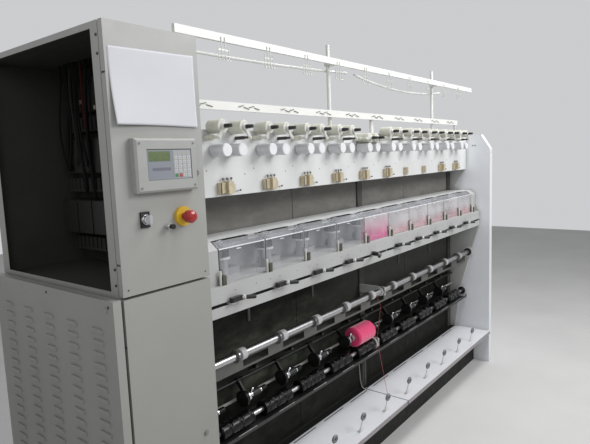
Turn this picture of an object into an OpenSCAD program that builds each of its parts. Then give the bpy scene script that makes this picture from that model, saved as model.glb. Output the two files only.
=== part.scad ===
// Knitting and winding machine with ten heads in a row. A control cabinet closes
// the left end, a tapered plate closes the right end. Between them, from the top
// down: yarn guide rails, a white feed panel with drums and pressure rollers, a
// bench of knitting heads under clear covers, start levers, a take-up shaft, a
// winding shaft with bobbin cradles, and a yarn shelf with eyelets.
// While building, X runs along the machine from the cabinet's left face, Y goes
// back from the cabinet's front and Z goes up from the floor.

/* [Row of heads] */
// Distance from one head to the next
head_pitch = 255; // [250:1:270]
// From the cabinet's right side to the first head's centre
first_head = 276; // [270:1:300]
// From the last head's centre to the end plate
last_head_gap = 220; // [215:1:260]

/* [Cabinet] */
// Width of the control cabinet
cab_w = 324; // [310:2:360]
// Depth of the control cabinet
cab_d = 746; // [720:2:800]
// Height of the control cabinet
cab_h = 2000; // [1980:5:2030]
// Height of the seam between the two doors
seam_z = 1240; // [1210:5:1250]
// Depth of the folded door pans
door_t = 20; // [18:1:24]
// How far the louvred cover stands off the cabinet's side
cover_off = 35; // [30:1:45]
// How far the louvre hoods stand out of that cover
louvre_out = 5; // [3:0.5:7]
// Thickness of the folded sheets
sheet = 2; // [1.5:0.5:2.5]

/* [Feed panel] */
// Front face of the feed panel, back from the cabinet's front
feed_y = 175; // [173:1:180]
// Height of the feed panel's lower edge
feed_z0 = 1481; // [1470:1:1495]
// Height of the feed panel's upper edge
feed_z1 = 1730; // [1720:1:1740]
// Radius of the feed drums
drum_r = 24; // [20:0.5:26]
// Radius of the pressure rollers
press_r = 25; // [22:0.5:26]

/* [Bench] */
// Height of the ledge on top of the bench
ledge_z = 1323; // [1318:1:1330]
// Height of the bench floor under the covers
floor_z = 1168; // [1162:1:1174]
// Front face of the fascia
fascia_y = 71; // [66:1:76]
// Gap between two covers
cover_gap = 7; // [6:0.5:10]
// Wall of the clear covers
acrylic = 4; // [3:0.5:5]
// Length of the start levers
lever_len = 100; // [92:1:108]

/* [Shafts] */
// Height of the take-up shaft
take_z = 850; // [840:2:870]
// Radius of the take-up shaft
take_r = 16; // [13:0.5:17]
// Height of the winding shaft
wind_z = 543; // [535:1:550]
// Radius of the winding drums
wind_r = 33; // [30:0.5:34]
// Radius of the wound bobbin
bobbin_r = 54; // [50:0.5:56]

/* [Shelf and rails] */
// Height of the yarn shelf
shelf_z = 250; // [240:2:260]
// Height of the lower guide rail's top edge above the feed panel
rail_rise = 104; // [96:1:112]
// Height of the upper guide rail's top edge above the lower one
rail_gap = 243; // [230:1:260]
// Thickness of the tapered end plate
end_t = 50; // [40:2:60]

/* [Hidden] */
$fn = 32;

// Fits
play = 0.3;
seat = 0.3;

// Row of heads
heads = 10;
run_x0 = cab_w;
run_x1 = cab_w + first_head + (heads - 1) * head_pitch + last_head_gap;
mid_x = run_x0 + first_head + (heads - 1) * head_pitch / 2;
function head_x(k) = run_x0 + first_head + k * head_pitch;

// Cabinet
window_y0 = 58;
window_y1 = cab_d - 46;
roof_t = 16;
deck_z = seam_z;
door_gap = 8;
door_base_z = 60;
hinge_x = 8;
hinge_y = 8;
hinge_pin_r = 3;
knuckle_r = 5.5;
hinge_inset = 90;
hinge_h = 50;
bracket_t = 4;
shell_front = hinge_y + norm([hinge_x, door_t - hinge_y]) + 1;
upper_lock = [294, 1580];
lower_lock = [268, 724];
cover_gap_x = 9;
terminal_x = 55;
terminal_w = 222;
terminal_z = 1532;
terminal_h = 154;
terminal_t = 27;
stop_x = 225;
stop_z = 1451;
stop_reach = 56;
select_x = 88;
select_z = 1456;
jog_x = 165;
jog_z = 1427;

// Frame
wall_y = 310;
post_w = 50;
post_y = 300;
beam_y = post_y + 14;
plate_t = 8;
plinth_y = 117;
plate_x0 = run_x0;
plate_x1 = run_x1;
inner_x0 = plate_x0 + plate_t;
inner_x1 = plate_x1 - plate_t;
end_top = 1733;

// Feed
feed_front = feed_y - 78;
feed_drum_z = 1653;
feed_drum_dx = [-67, 15];
press_front = feed_y - 73;
press_back = feed_y - 8;
press_pivot_dx = [-103, 57];
press_rise = 46;
press_pivot_z = feed_drum_z + press_rise;
press_arm = 46;
press_raised = 58;
press_shaft_r = [10, 7];
running_head = 4;
stop_motion_z = feed_z0 + 32;
bare_stop_motions = [6, 7];

// Bench and covers
cover_top_y = 104;
cover_top_z = 1297;
cover_low_z = floor_z + 3;
hinge_rod_r = 3;
knuckle_out = 6.5;
pivot_y = 147;
pivot_z = ledge_z - 6;
cover_w = head_pitch - cover_gap;
cover_dx = -130;
ledge_y0 = pivot_y + knuckle_out + 2;
catch_w = 26;
catch_h = 53;
catch_block_h = 36;
catch_pin_r = 5;

// Start levers
slot_h = 12;
lip_z = 1061;
slot_z = 1105;
lever_y = 58;
lever_z = slot_z + 11;
lever_dx = -122;
lever_h = 18;
lever_block = 48;
lever_bend = 42;
lever_swing = 110;
lever_pin_r = 4;
lever_boss_r = 10;
lever_low = lever_z - lever_h / 2 - seat;
lever_tongue = 3;

// Shafts
take_y = 160;
collar_r = 24.5;
collar_w = 28;
collar_dx = 11;
wind_y = 207;
wind_shaft_r = 12;
wind_drum_len = 180;
groove = 5;
bearing_r = 40;
bearing_t = 6;
cradle_rod_y = 286;
cradle_rod_z = 676;
cradle_rod_r = 6;
cradle_dx = -175;
cradle_reach = 150;
cradle_arm = norm([47, 64]);
cradle_hang = atan2(-64, -47);
disc_r = 35;
mandrel_r = 12;
shelf_y0 = -8;
shelf_y1 = 262;
guard_drop = 46;
shelf_t = 3;

// Angle of the running cradle, from the triangle of rod, drum and bobbin axes
bob_reach = wind_r + bobbin_r + play;
rod_to_drum = norm([cradle_rod_y - wind_y, cradle_rod_z - wind_z]);
rod_angle = atan2(wind_z - cradle_rod_z, wind_y - cradle_rod_y);
bob_cos = (cradle_arm * cradle_arm + rod_to_drum * rod_to_drum - bob_reach * bob_reach)
    / (2 * cradle_arm * rod_to_drum);
cradle_run = rod_angle - acos(bob_cos);
function cradle_angle(k) = k == running_head ? cradle_run : cradle_hang;

// Angle of a lowered pressure roller above level, from the triangle of pivot, drum and roller axes
function press_low(i) =
    let (across = abs(press_pivot_dx[i] - feed_drum_dx[i]), reach = drum_r + press_r + seat,
        d = norm([across, press_rise]))
    acos((press_arm * press_arm + d * d - reach * reach) / (2 * press_arm * d)) - atan2(press_rise, across);
bobbin_y = cradle_rod_y + cradle_arm * cos(cradle_run);
bobbin_z = cradle_rod_z + cradle_arm * sin(cradle_run);
bobbin_dx = [-92, 78];
core_r = 17;
core_out = 16;

// Rails
rail_y = 152;
rail_h = 29;
rail_t = 14;
rail_x0 = cab_w + 46;
rail2_z = feed_z1 + rail_rise;
rail_z = rail2_z + rail_gap;
rail2_y = 162;
rail2_h = 32;
rail2_x1 = head_x(heads - 1) + 5;
mast_x = [mid_x - 421, mid_x + 777];
mast_y = 190;
mast_r = 9;
mast_top = rail_z + 66;

// Shift from building axes to the part's own origin
shift_x = -(run_x1 + end_t - cover_off - louvre_out) / 2;
shift_y = -(cab_d - stop_reach) / 2;

module slab(x0, x1, y0, y1, z0, z1) {
    translate([x0, y0, z0]) cube([x1 - x0, y1 - y0, z1 - z0]);
}

module xrod(x0, x1, y, z, r) {
    translate([x0, y, z]) rotate([0, 90, 0]) cylinder(h = x1 - x0, r = r);
}

module yrod(x, y0, y1, z, r) {
    translate([x, y1, z]) rotate([90, 0, 0]) cylinder(h = y1 - y0, r = r);
}

module zrod(x, y, z0, z1, r) {
    translate([x, y, z0]) cylinder(h = z1 - z0, r = r);
}

// Extrudes an outline drawn in Y and Z along X
module xprism(x0, x1, outline) {
    translate([x0, 0, 0]) rotate([90, 0, 90]) linear_extrude(x1 - x0) polygon(outline);
}

module placed() {
    translate([shift_x, shift_y, 0]) children();
}

// Cabinet
module hinge_bracket(z) {
    slab(hinge_x - 1, hinge_x + 12, hinge_y, shell_front + 1, z, z + bracket_t);
    zrod(hinge_x, hinge_y, z, z + bracket_t, knuckle_r - 0.5);
    zrod(hinge_x, hinge_y, z, z + hinge_h - 10, hinge_pin_r);
}

module door_pan(z0, z1) {
    difference() {
        slab(0, cab_w, 0, door_t, z0, z1);
        slab(sheet, cab_w - sheet, sheet, door_t + 1, z0 + sheet, z1 - sheet);
        for (z = [z0 + hinge_inset, z1 - hinge_inset - hinge_h])
            slab(-1, sheet + 0.01, sheet, door_t + 1, z - 1, z + bracket_t + 1);
    }
    for (z = [z0 + hinge_inset, z1 - hinge_inset - hinge_h])
        difference() {
            union() {
                zrod(hinge_x, hinge_y, z + bracket_t + play, z + hinge_h - 12, knuckle_r);
                slab(hinge_x - 4, hinge_x + 4, sheet - 0.5, hinge_y - 3.5, z + bracket_t + play, z + hinge_h - 12);
            }
            zrod(hinge_x, hinge_y, z, z + hinge_h, hinge_pin_r + play);
        }
}

module quarter_turn(x, z) {
    yrod(x, -3, 0, z, 9);
    yrod(x, -6, -3, z, 6);
}

module upper_door() {
    color("gainsboro") placed() {
        difference() {
            union() {
                door_pan(seam_z + door_gap / 2, cab_h);
                quarter_turn(upper_lock[0], upper_lock[1]);
            }
            yrod(stop_x, -1, sheet + 1, stop_z, 11.3);
            yrod(select_x, -1, sheet + 1, select_z, 11.3);
            yrod(jog_x, -1, sheet + 1, jog_z, 6);
        }
    }
}

module lower_door() {
    color("gainsboro") placed() {
        door_pan(door_base_z, seam_z - door_gap / 2);
        quarter_turn(lower_lock[0], lower_lock[1]);
    }
}

module cabinet_shell() {
    front = shell_front;
    color("silver") placed() {
        difference() {
            slab(0, cab_w, front, cab_d, 0, cab_h);
            slab(sheet, cab_w - sheet, front - 1, cab_d - sheet, door_base_z, deck_z - 15);
            slab(sheet, cab_w - sheet, front - 1, cab_d - sheet, deck_z, cab_h - roof_t);
            slab(-1, sheet + 1, window_y0, window_y1, deck_z + 15, cab_h - roof_t - 2);
            slab(-1, sheet + 1, window_y0, window_y1, 160, deck_z - 90);
            slab(30, cab_w - 30, front - 1, cab_d - 30, -1, door_base_z - 3);
        }
        // Inner posts behind the doors
        slab(sheet, 22, front, front + sheet, door_base_z - 1, cab_h - 1);
        slab(cab_w - 22, cab_w - sheet, front, front + sheet, door_base_z - 1, cab_h - 1);
        for (z0 = [door_base_z, seam_z + door_gap / 2])
            let (z1 = z0 == door_base_z ? seam_z - door_gap / 2 : cab_h)
                for (z = [z0 + hinge_inset, z1 - hinge_inset - hinge_h])
                    hinge_bracket(z);
        // Screws of the hinge brackets on the side flange
        for (z = [deck_z + 36, deck_z + 82, cab_h - 87, cab_h - 38])
            xrod(-2, 1, shell_front + 7, z, 4);
    }
}

module louvre(y, z) {
    hood_w = 62;
    hood_h = 12;
    translate([0, y - hood_w / 2, z])
        rotate([90, 0, 90])
            translate([0, 0, -cover_off - louvre_out])
                linear_extrude(louvre_out + 0.5)
                    polygon([[0, 0], [hood_w, 0], [hood_w - 6, hood_h], [6, hood_h]]);
}

module louvre_cover() {
    z0 = door_base_z;
    z1 = seam_z;
    columns = 5;
    rows = 26;
    column_pitch = 140;
    row_pitch = 35;
    color("silver") placed() {
        difference() {
            union() {
                difference() {
                    slab(-cover_off, -cover_gap_x, 0, cab_d, z0, z1);
                    slab(-cover_off + sheet, 1, sheet, cab_d - sheet, z0 + sheet, z1 - sheet);
                }
                for (c = [0:columns - 1])
                    for (r = [0:rows - 1])
                        louvre(88 + column_pitch * c, z1 - 100 - row_pitch * r);
            }
            for (c = [0:columns - 1])
                for (r = [0:rows - 1])
                    slab(-cover_off - louvre_out + 1.5, -cover_off + sheet + 1,
                        88 + column_pitch * c - 24, 88 + column_pitch * c + 24,
                        z1 - 101 - row_pitch * r, z1 - 94 - row_pitch * r);
        }
        // Studs that hold the cover on the cabinet's side
        for (y = [38, cab_d - 24])
            for (z = [z0 + 60, z1 - 28]) {
                xrod(-cover_off + 1, 0, y, z, 7);
                xrod(-cover_off - 3, -cover_off + 1, y, z, 9);
            }
    }
}

module electrical_gear() {
    back_x = cab_w - sheet;
    plate_x = back_x - 22;
    plate_y = [window_y0, window_y1 - 14];
    inside_y = [plate_y[0] + 20, plate_y[1] - 20];
    rows = 3;
    duct_h = 50;
    row_pitch = (cab_h - roof_t - deck_z - 84) / rows;
    duct_len = inside_y[1] - inside_y[0];
    slots = 21;
    depth = [95, 75, 55];
    devices = [6, 9, 10];
    color("dimgray") placed() {
        slab(plate_x, plate_x + 3, plate_y[0], plate_y[1], deck_z + 40, cab_h - 60);
        for (y = [plate_y[0] + 30, plate_y[1] - 30])
            for (z = [deck_z + 80, cab_h - 100])
                xrod(plate_x + 3, back_x, y, z, 8);
        for (row = [0:rows - 1])
            let (z = deck_z + 60 + row * row_pitch, w = duct_len / devices[row]) {
                // Slotted cable duct
                difference() {
                    slab(plate_x - 60, plate_x - seat, inside_y[0], inside_y[1], z, z + duct_h);
                    for (i = [0:slots - 1])
                        let (y = inside_y[0] + (i + 0.5) * duct_len / slots)
                            slab(plate_x - 61, plate_x - 20, y - 5, y + 5, z + 8, z + duct_h + 1);
                }
                // Breakers and contactors above it
                for (i = [0:devices[row] - 1])
                    let (y = inside_y[0] + i * w)
                        slab(plate_x - depth[row], plate_x - seat, y + 4, y + w - 4,
                            z + duct_h + 20, z + row_pitch - 30);
            }
    }
}

module operator_terminal() {
    bevel = 6;
    color("lightgray") placed() {
        difference() {
            intersection() {
                xprism(terminal_x, terminal_x + terminal_w, [
                    [0, terminal_z], [bevel - terminal_t, terminal_z], [-terminal_t, terminal_z + bevel],
                    [-terminal_t, terminal_z + terminal_h - bevel], [bevel - terminal_t, terminal_z + terminal_h],
                    [0, terminal_z + terminal_h]
                ]);
                translate([0, 0, terminal_z]) linear_extrude(terminal_h) polygon([
                    [terminal_x, 0], [terminal_x, bevel - terminal_t], [terminal_x + bevel, -terminal_t],
                    [terminal_x + terminal_w - bevel, -terminal_t],
                    [terminal_x + terminal_w, bevel - terminal_t], [terminal_x + terminal_w, 0]
                ]);
            }
            slab(terminal_x + 38, terminal_x + 198, -terminal_t - 1, -terminal_t + 1.5,
                terminal_z + 34, terminal_z + 122);
        }
        // Membrane, display window and keys
        slab(terminal_x + 39, terminal_x + 197, -terminal_t + 0.5, -terminal_t + 1.6,
            terminal_z + 35, terminal_z + 121);
        for (c = [0:3])
            for (r = [0:4])
                slab(terminal_x + 130 + 16 * c, terminal_x + 142 + 16 * c, -terminal_t - 0.4, -terminal_t + 1,
                    terminal_z + 40 + 16 * r, terminal_z + 52 + 16 * r);
        for (x = [terminal_x + 14, terminal_x + terminal_w - 14])
            for (z = [terminal_z + 14, terminal_z + terminal_h - 14])
                yrod(x, -terminal_t - 1.5, -terminal_t + 1, z, 3.5);
    }
}

module control_bezels() {
    color("gold") placed() {
        difference() {
            yrod(stop_x, -12, 0, stop_z, 30);
            yrod(stop_x, -13, 1, stop_z, 11.3);
        }
        difference() {
            union() {
                slab(select_x - 15, select_x + 15, -6, 0, select_z - 24, select_z + 22);
                yrod(select_x, -12, 0, select_z, 15);
            }
            yrod(select_x, -13, 1, select_z, 11.3);
        }
        difference() {
            yrod(jog_x, -8, 0, jog_z, 9);
            yrod(jog_x, -9, 1, jog_z, 6);
        }
    }
}

module emergency_stop_button() {
    color("red") placed() {
        translate([stop_x, -20, stop_z]) rotate([90, 0, 0])
            rotate_extrude() polygon([
                [0, 0], [14, 0], [16, 8], [20, 11], [20, 26], [16, 33], [8, 36], [0, 36]
            ]);
        yrod(stop_x, -20.5, 40, stop_z, 11);
    }
}

module selector_switch() {
    color("silver") placed() {
        yrod(select_x, -22, -12.3, select_z, 14);
        slab(select_x - 4, select_x + 4, -32, -21, select_z - 14, select_z + 14);
        yrod(select_x, -13, 36, select_z, 11);
    }
}

module jog_button() {
    color("black") placed() {
        yrod(jog_x, -34, -15, jog_z, 7.5);
        yrod(jog_x, -16, 24, jog_z, 5.7);
    }
}

// Frame
plate_z0 = shelf_z - shelf_t + seat;
plate_outline = [
    [post_y + post_w, plate_z0], [shelf_y1 + 4, plate_z0], [222, 560], [78, 1062],
    [78, 1172], [pivot_y, ledge_z - 14], [275, 1346], [feed_y + 4, 1483], [feed_y + 4, 1690],
    [post_y + post_w, 1690]
];

module frame_plate(x0) {
    difference() {
        xprism(x0, x0 + plate_t, plate_outline);
        xrod(x0 - 1, x0 + plate_t + 1, take_y, take_z, take_r + 4);
        xrod(x0 - 1, x0 + plate_t + 1, wind_y, wind_z, wind_shaft_r + 4);
    }
}

module machine_frame() {
    post_x = [inner_x0 + seat, mid_x - 2, inner_x1 - seat - post_w];
    color("gainsboro") placed() {
        for (x = post_x)
            slab(x, x + post_w, post_y, post_y + post_w, shelf_z - shelf_t, 1690);
        for (z = [1270, 1640])
            slab(inner_x0 + seat, inner_x1 - seat, beam_y, post_y + post_w, z, z + post_w);
        // Plinth with folded edges, open underneath
        difference() {
            slab(plate_x0, plate_x1, plinth_y, cab_d - 2 * plinth_y, 0, shelf_z - shelf_t);
            slab(plate_x0 + sheet, plate_x1 - sheet, plinth_y + sheet,
                cab_d - 2 * plinth_y - sheet, -1, shelf_z - shelf_t - sheet);
        }
        // Carriers of the middle bearings and the two stays under them
        for (s = [[take_y, take_z], [wind_y, wind_z]])
            difference() {
                slab(mid_x - 4, mid_x + 4, s[0] - 24, post_y - seat, s[1] - 24, s[1] + 24);
                xrod(mid_x - 5, mid_x + 5, s[0], s[1], take_r + 3);
            }
        for (x = [mid_x - 1, mid_x + 17])
            zrod(x, post_y - 8, plate_z0, wind_z - guard_drop, 4);
    }
}

module back_panels() {
    joint_dx = 0.43 * (run_x1 - mid_x);
    joints = [mid_x - joint_dx, mid_x + joint_dx];
    end_gap = post_w + 2 * seat;
    edges = [inner_x0 + end_gap, mid_x - 2 - seat, mid_x - 2 + post_w + seat, inner_x1 - end_gap];
    color("dimgray") placed()
        for (bay = [0, 1])
            for (span = [[edges[2 * bay], joints[bay] - 2], [joints[bay] + 2, edges[2 * bay + 1]]])
                slab(span[0], span[1], wall_y, beam_y - seat, shelf_z, 1690);
}

module end_plate() {
    x0 = run_x1;
    top_y = 68;
    color("whitesmoke") placed() {
        xprism(x0, x0 + end_t, [
            [0, 0], [cab_d, 0], [cab_d, 1627], [cab_d - top_y, end_top], [top_y, end_top], [0, 1627]
        ]);
    }
}

module bearing(x, y, z, r) {
    difference() {
        union() {
            xrod(x - bearing_t, x, y, z, bearing_r);
            xrod(x - bearing_t - 6, x - bearing_t, y, z, bearing_r - 12);
        }
        xrod(x - 20, x + 1, y, z, r + play);
    }
}

// Plates at both ends of the frame, and the bearings of both shafts
module bearing_plates() {
    color("gainsboro") placed() {
        frame_plate(plate_x0);
        frame_plate(plate_x1 - plate_t);
        bearing(inner_x1, take_y, take_z, take_r);
        bearing(inner_x1, wind_y, wind_z, wind_shaft_r);
        for (s = [[take_y, take_z, take_r], [wind_y, wind_z, wind_shaft_r]])
            difference() {
                union() {
                    xrod(inner_x0, inner_x0 + bearing_t, s[0], s[1], bearing_r);
                    xrod(mid_x - 18, mid_x - 4, s[0], s[1], collar_r + 1);
                }
                xrod(inner_x0 - 1, mid_x + 5, s[0], s[1], s[2] + play);
            }
    }
}

// Feed
module feed_panel() {
    lip = 22;
    color("white") placed() {
        xprism(inner_x0 + 1, inner_x1 - 1, [
            [feed_y, feed_z0], [feed_y + lip, feed_z0], [feed_y + lip, feed_z0 + sheet],
            [feed_y + sheet, feed_z0 + sheet], [feed_y + sheet, feed_z1 - sheet],
            [post_y, feed_z1 - sheet], [post_y, feed_z1], [feed_y, feed_z1]
        ]);
        for (x = [inner_x0 + 1, mid_x, inner_x1 - 21])
            slab(x, x + 20, feed_y + sheet - 0.5, post_y, 1600, 1604);
    }
}

module feed_drums() {
    color("silver") placed()
        for (k = [0:heads - 1])
            for (dx = feed_drum_dx) {
                yrod(head_x(k) + dx, feed_front + 3, feed_y - 8, feed_drum_z, drum_r);
                yrod(head_x(k) + dx, feed_front, feed_front + 3, feed_drum_z, drum_r - 1.5);
                yrod(head_x(k) + dx, feed_y - 8, feed_y, feed_drum_z, drum_r - 10);
            }
}

// One pressure roller on its arm in front, the left one hinged on its left, the right one on its right
module pressure_roller(k, i) {
    side = i == 0 ? 1 : -1;
    angle = k == running_head ? press_low(i) : press_raised;
    pivot_x = head_x(k) + press_pivot_dx[i];
    x = pivot_x + side * press_arm * cos(angle);
    z = press_pivot_z + press_arm * sin(angle);
    arm_t = 5;
    neck_y = press_front - arm_t;
    rim = 2;
    // Body with a rim and its end disc
    yrod(x, press_front + rim, press_back, z, press_r);
    translate([x, press_front + rim, z]) rotate([90, 0, 0]) cylinder(h = rim, r1 = press_r, r2 = press_r - rim);
    // Neck and tapered handle
    translate([x, neck_y, z]) rotate([90, 0, 0]) cylinder(h = 6, r1 = 12, r2 = 8.5);
    translate([x, neck_y - 6, z]) rotate([90, 0, 0]) cylinder(h = 30, r1 = 8.5, r2 = 6.5);
    // Arm and pivot
    translate([pivot_x, press_front, press_pivot_z])
        rotate([90, 0, 0])
            linear_extrude(arm_t)
                rotate([0, 0, side > 0 ? angle : 180 - angle])
                    union() {
                        translate([0, -6]) square([press_arm, 12]);
                        translate([press_arm, 0]) circle(r = 13);
                        circle(r = 8);
                    }
    yrod(pivot_x, neck_y - 3, feed_y, press_pivot_z, 5);
    yrod(pivot_x, feed_y - 44, feed_y, press_pivot_z, press_shaft_r[i]);
}

module pressure_rollers() {
    color("wheat") placed()
        for (k = [0:heads - 1])
            for (i = [0, 1])
                pressure_roller(k, i);
}

module stop_motions() {
    color("goldenrod") placed()
        for (k = [0:heads - 1])
            let (x = head_x(k) - 18, z = stop_motion_z, bare = len(search(k, bare_stop_motions)) > 0) {
                slab(x - 38, x - 33, feed_y - 22, feed_y, z - 23, z + 20);
                slab(x - 33, x - 2, feed_y - 15, feed_y, z - 20, z + 20);
                if (!bare) {
                    slab(x - 2, x + 26, feed_y - 27, feed_y, z - 24, z + 23);
                    slab(x + 26, x + 42, feed_y - 18, feed_y, z - 20, z + 12);
                    for (i = [0:2])
                        translate([x - 14 + 22 * i, feed_y - 9, z]) {
                            cylinder(h = 34, r = 1.5);
                            translate([0, 0, 34]) sphere(r = 5, $fn = 16);
                        }
                    // Feeler wire with its knob
                    translate([x + 20, feed_y - 9, z - 20]) rotate([0, 84, 0]) cylinder(h = 58, r = 1.2);
                    translate([x + 78, feed_y - 9, z - 14]) sphere(r = 4, $fn = 16);
                }
            }
}

// Bench
module bench() {
    y1 = post_y;
    color("whitesmoke") placed() {
        // Ledge with a folded front edge, floor and rear wall of the head compartments
        xprism(inner_x0 + 1, inner_x1 - 1, [
            [ledge_y0, ledge_z - 20], [ledge_y0 + sheet, ledge_z - 20], [ledge_y0 + sheet, ledge_z - sheet],
            [y1 - 40 - sheet, ledge_z - sheet], [y1 - 40 - sheet, floor_z],
            [fascia_y + 6, floor_z], [fascia_y + 6, floor_z - sheet], [y1, floor_z - sheet],
            [y1, floor_z], [y1 - 40, floor_z], [y1 - 40, ledge_z - sheet], [y1, ledge_z - sheet],
            [y1, ledge_z], [ledge_y0, ledge_z]
        ]);
        // Fixed fillers at both ends of the row of covers
        for (x = [[inner_x0 + 1, head_x(0) + cover_dx - cover_gap], [head_x(heads) + cover_dx, inner_x1 - 1]])
            xprism(x[0], x[1], [
                [cover_top_y, floor_z - 1], [cover_top_y, cover_top_z], [pivot_y - 8, ledge_z], [ledge_y0 + 1, ledge_z],
                [ledge_y0 + 1, ledge_z - sheet], [pivot_y - 7, ledge_z - sheet],
                [cover_top_y + sheet, cover_top_z - 1], [cover_top_y + sheet, floor_z - 1]
            ]);
        // Hinge rod and the tabs that carry it between the covers
        xrod(inner_x0 + 1, inner_x1 - 1, pivot_y, pivot_z, hinge_rod_r);
        for (k = [0:heads])
            let (x = head_x(k) + cover_dx - cover_gap / 2) {
                slab(x - 1.5, x + 1.5, pivot_y - 4, ledge_y0 + 1, pivot_z - 6, ledge_z);
                // Catch at the covers' lower corners: a turning pin and the block beside it
                slab(x - catch_w / 2 + 2 * catch_pin_r - 1, x + catch_w / 2, fascia_y + 12, cover_top_y + 1,
                    floor_z - 0.5, floor_z + catch_block_h);
                zrod(x - catch_w / 2 + catch_pin_r, fascia_y + 22, floor_z - 0.5, floor_z + catch_h, catch_pin_r);
            }
        // Carriers of the start lever pins
        for (k = [0:heads - 1])
            let (x = head_x(k) + lever_dx) {
                slab(x - 10, x + 10, lever_y - 9, fascia_y + 30, lever_low - lever_tongue, lever_low);
                slab(x - 10, x + 10, fascia_y + 24, fascia_y + 30, lever_low - lever_tongue, floor_z - 1);
                zrod(x, lever_y, lever_low - 1, lever_z + lever_h / 2 - 1, lever_pin_r);
            }
    }
}

module fascia() {
    top_z = floor_z + 3;
    back_y = 190;
    seam = 1;
    rib_x = [inner_x0 + 1, mid_x - 90, inner_x1 - 5];
    color("white") placed()
        difference() {
            union() {
                // Front plate above the slot, with its top fold
                xprism(inner_x0 + 1, inner_x1 - 1, [
                    [fascia_y, slot_z + slot_h / 2], [fascia_y + sheet, slot_z + slot_h / 2],
                    [fascia_y + sheet, top_z - sheet], [fascia_y + 6 - play, top_z - sheet],
                    [fascia_y + 6 - play, top_z], [fascia_y, top_z]
                ]);
                // Lip under the slot, bottom and rear wall of the bench's box
                xprism(inner_x0 + 1, inner_x1 - 1, [
                    [fascia_y, lip_z], [back_y, lip_z], [back_y, floor_z - sheet], [back_y - 4, floor_z - sheet],
                    [back_y - 4, lip_z + sheet], [fascia_y + sheet, lip_z + sheet],
                    [fascia_y + sheet, slot_z - slot_h / 2], [fascia_y, slot_z - slot_h / 2]
                ]);
                // Ribs that join the front plate, the lip and the rear wall
                for (x = rib_x)
                    slab(x, x + 4, fascia_y + sheet - 0.5, back_y - 3, lip_z + 1, floor_z - sheet - play);
            }
            slab(mid_x - seam / 2, mid_x + seam / 2, fascia_y - 1, back_y + 1, lip_z - 1, top_z + 1);
        }
}

module knitting_heads() {
    head_h = [74, 81, 120, 132];
    color("gray") placed()
        for (k = [0:heads - 1])
            let (x = head_x(k) - 48, y = 186) {
                zrod(x, y, floor_z, floor_z + head_h[0], 27);
                zrod(x, y, floor_z + head_h[0], floor_z + head_h[1], 36);
                slab(x - 26, x + 26, y - 20, y + 34, floor_z + head_h[1], floor_z + head_h[2]);
                zrod(x, y, floor_z + head_h[2], floor_z + head_h[3], 9);
                slab(x + 44, x + 110, y + 10, y + 70, floor_z, floor_z + 28);
            }
}

// Clear cover of one head: bent sheet, two cheeks set in from its ends, two knuckles
module needle_cover(k) {
    x0 = head_x(k) + cover_dx;
    x1 = x0 + cover_w;
    cheek = 18;
    notch = (catch_w - cover_gap) / 2 + 4;
    notch_z = floor_z + catch_h + 4;
    edge_y = pivot_y - 2;
    edge_z = ledge_z - 3;
    knuckle_x = [x0 + 24, x1 - 54];
    bent = [
        [cover_top_y, cover_low_z], [cover_top_y, cover_top_z], [pivot_y - 8, edge_z], [edge_y, edge_z],
        [edge_y, edge_z - acrylic], [pivot_y - 7, edge_z - acrylic],
        [cover_top_y + acrylic, cover_top_z - 2], [cover_top_y + acrylic, cover_low_z]
    ];
    side = [
        [cover_top_y, cover_low_z], [cover_top_y, cover_top_z], [pivot_y - 8, edge_z - 1],
        [pivot_y - 8, cover_low_z]
    ];
    color([0.8, 0.85, 0.9, 0.5]) placed()
        difference() {
            union() {
                xprism(x0, x1, bent);
                xprism(x0 + cheek, x0 + cheek + acrylic, side);
                xprism(x1 - cheek - acrylic, x1 - cheek, side);
                for (x = knuckle_x)
                    xrod(x, x + 30, pivot_y, pivot_z, knuckle_out);
            }
            // Clearance round the rod, open hinge line and notches for the catches
            xrod(x0 - 1, x1 + 1, pivot_y, pivot_z, hinge_rod_r + play);
            for (x = [[x0 - 1, knuckle_x[0] - play], [knuckle_x[0] + 30 + play, knuckle_x[1] - play],
                    [knuckle_x[1] + 30 + play, x1 + 1]])
                slab(x[0], x[1], pivot_y - 5, pivot_y + 10, pivot_z - 8, ledge_z + 1);
            for (x = [x0 - 1, x1 - notch])
                slab(x, x + notch + 1, cover_top_y - 1, cover_top_y + acrylic + 1, cover_low_z - 1, notch_z);
        }
}

// Start lever of one head, turned about its upright pin; its grip is bent outward from the block
module start_lever(k) {
    angle = k == running_head ? lever_swing : 0;
    neck = 8;
    tip = 4;
    grip = lever_len - lever_block - neck - tip;
    color("black") placed()
        translate([head_x(k) + lever_dx, lever_y, lever_z])
            rotate([0, 0, -angle])
                difference() {
                    union() {
                        cylinder(h = lever_h, r = lever_boss_r, center = true);
                        translate([0, -8, -lever_h / 2]) cube([lever_block, 16, lever_h]);
                        translate([lever_block - 6, 0, 0]) rotate([0, 0, -lever_bend]) rotate([0, 90, 0]) {
                            cylinder(h = neck + 7, r = 5);
                            translate([0, 0, neck + 6]) cylinder(h = grip, r = 8);
                            translate([0, 0, neck + 6 + grip]) cylinder(h = tip, r1 = 8, r2 = 5);
                        }
                    }
                    cylinder(h = lever_h + 2, r = lever_pin_r + play, center = true);
                }
}

// Shafts
module take_up_shaft() {
    color("silver") placed() {
        xrod(run_x0 + 3, run_x1 - 3, take_y, take_z, take_r);
        for (k = [0:heads - 1]) {
            xrod(head_x(k) + collar_dx - collar_w / 2, head_x(k) + collar_dx + collar_w / 2, take_y, take_z, collar_r);
            xrod(head_x(k) + collar_dx - 38, head_x(k) + collar_dx - 35, take_y, take_z, collar_r + 2);
        }
    }
}

module winding_shaft() {
    color("silver") placed() xrod(run_x0 + 3, run_x1 - 3, wind_y, wind_z, wind_shaft_r);
}

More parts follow.
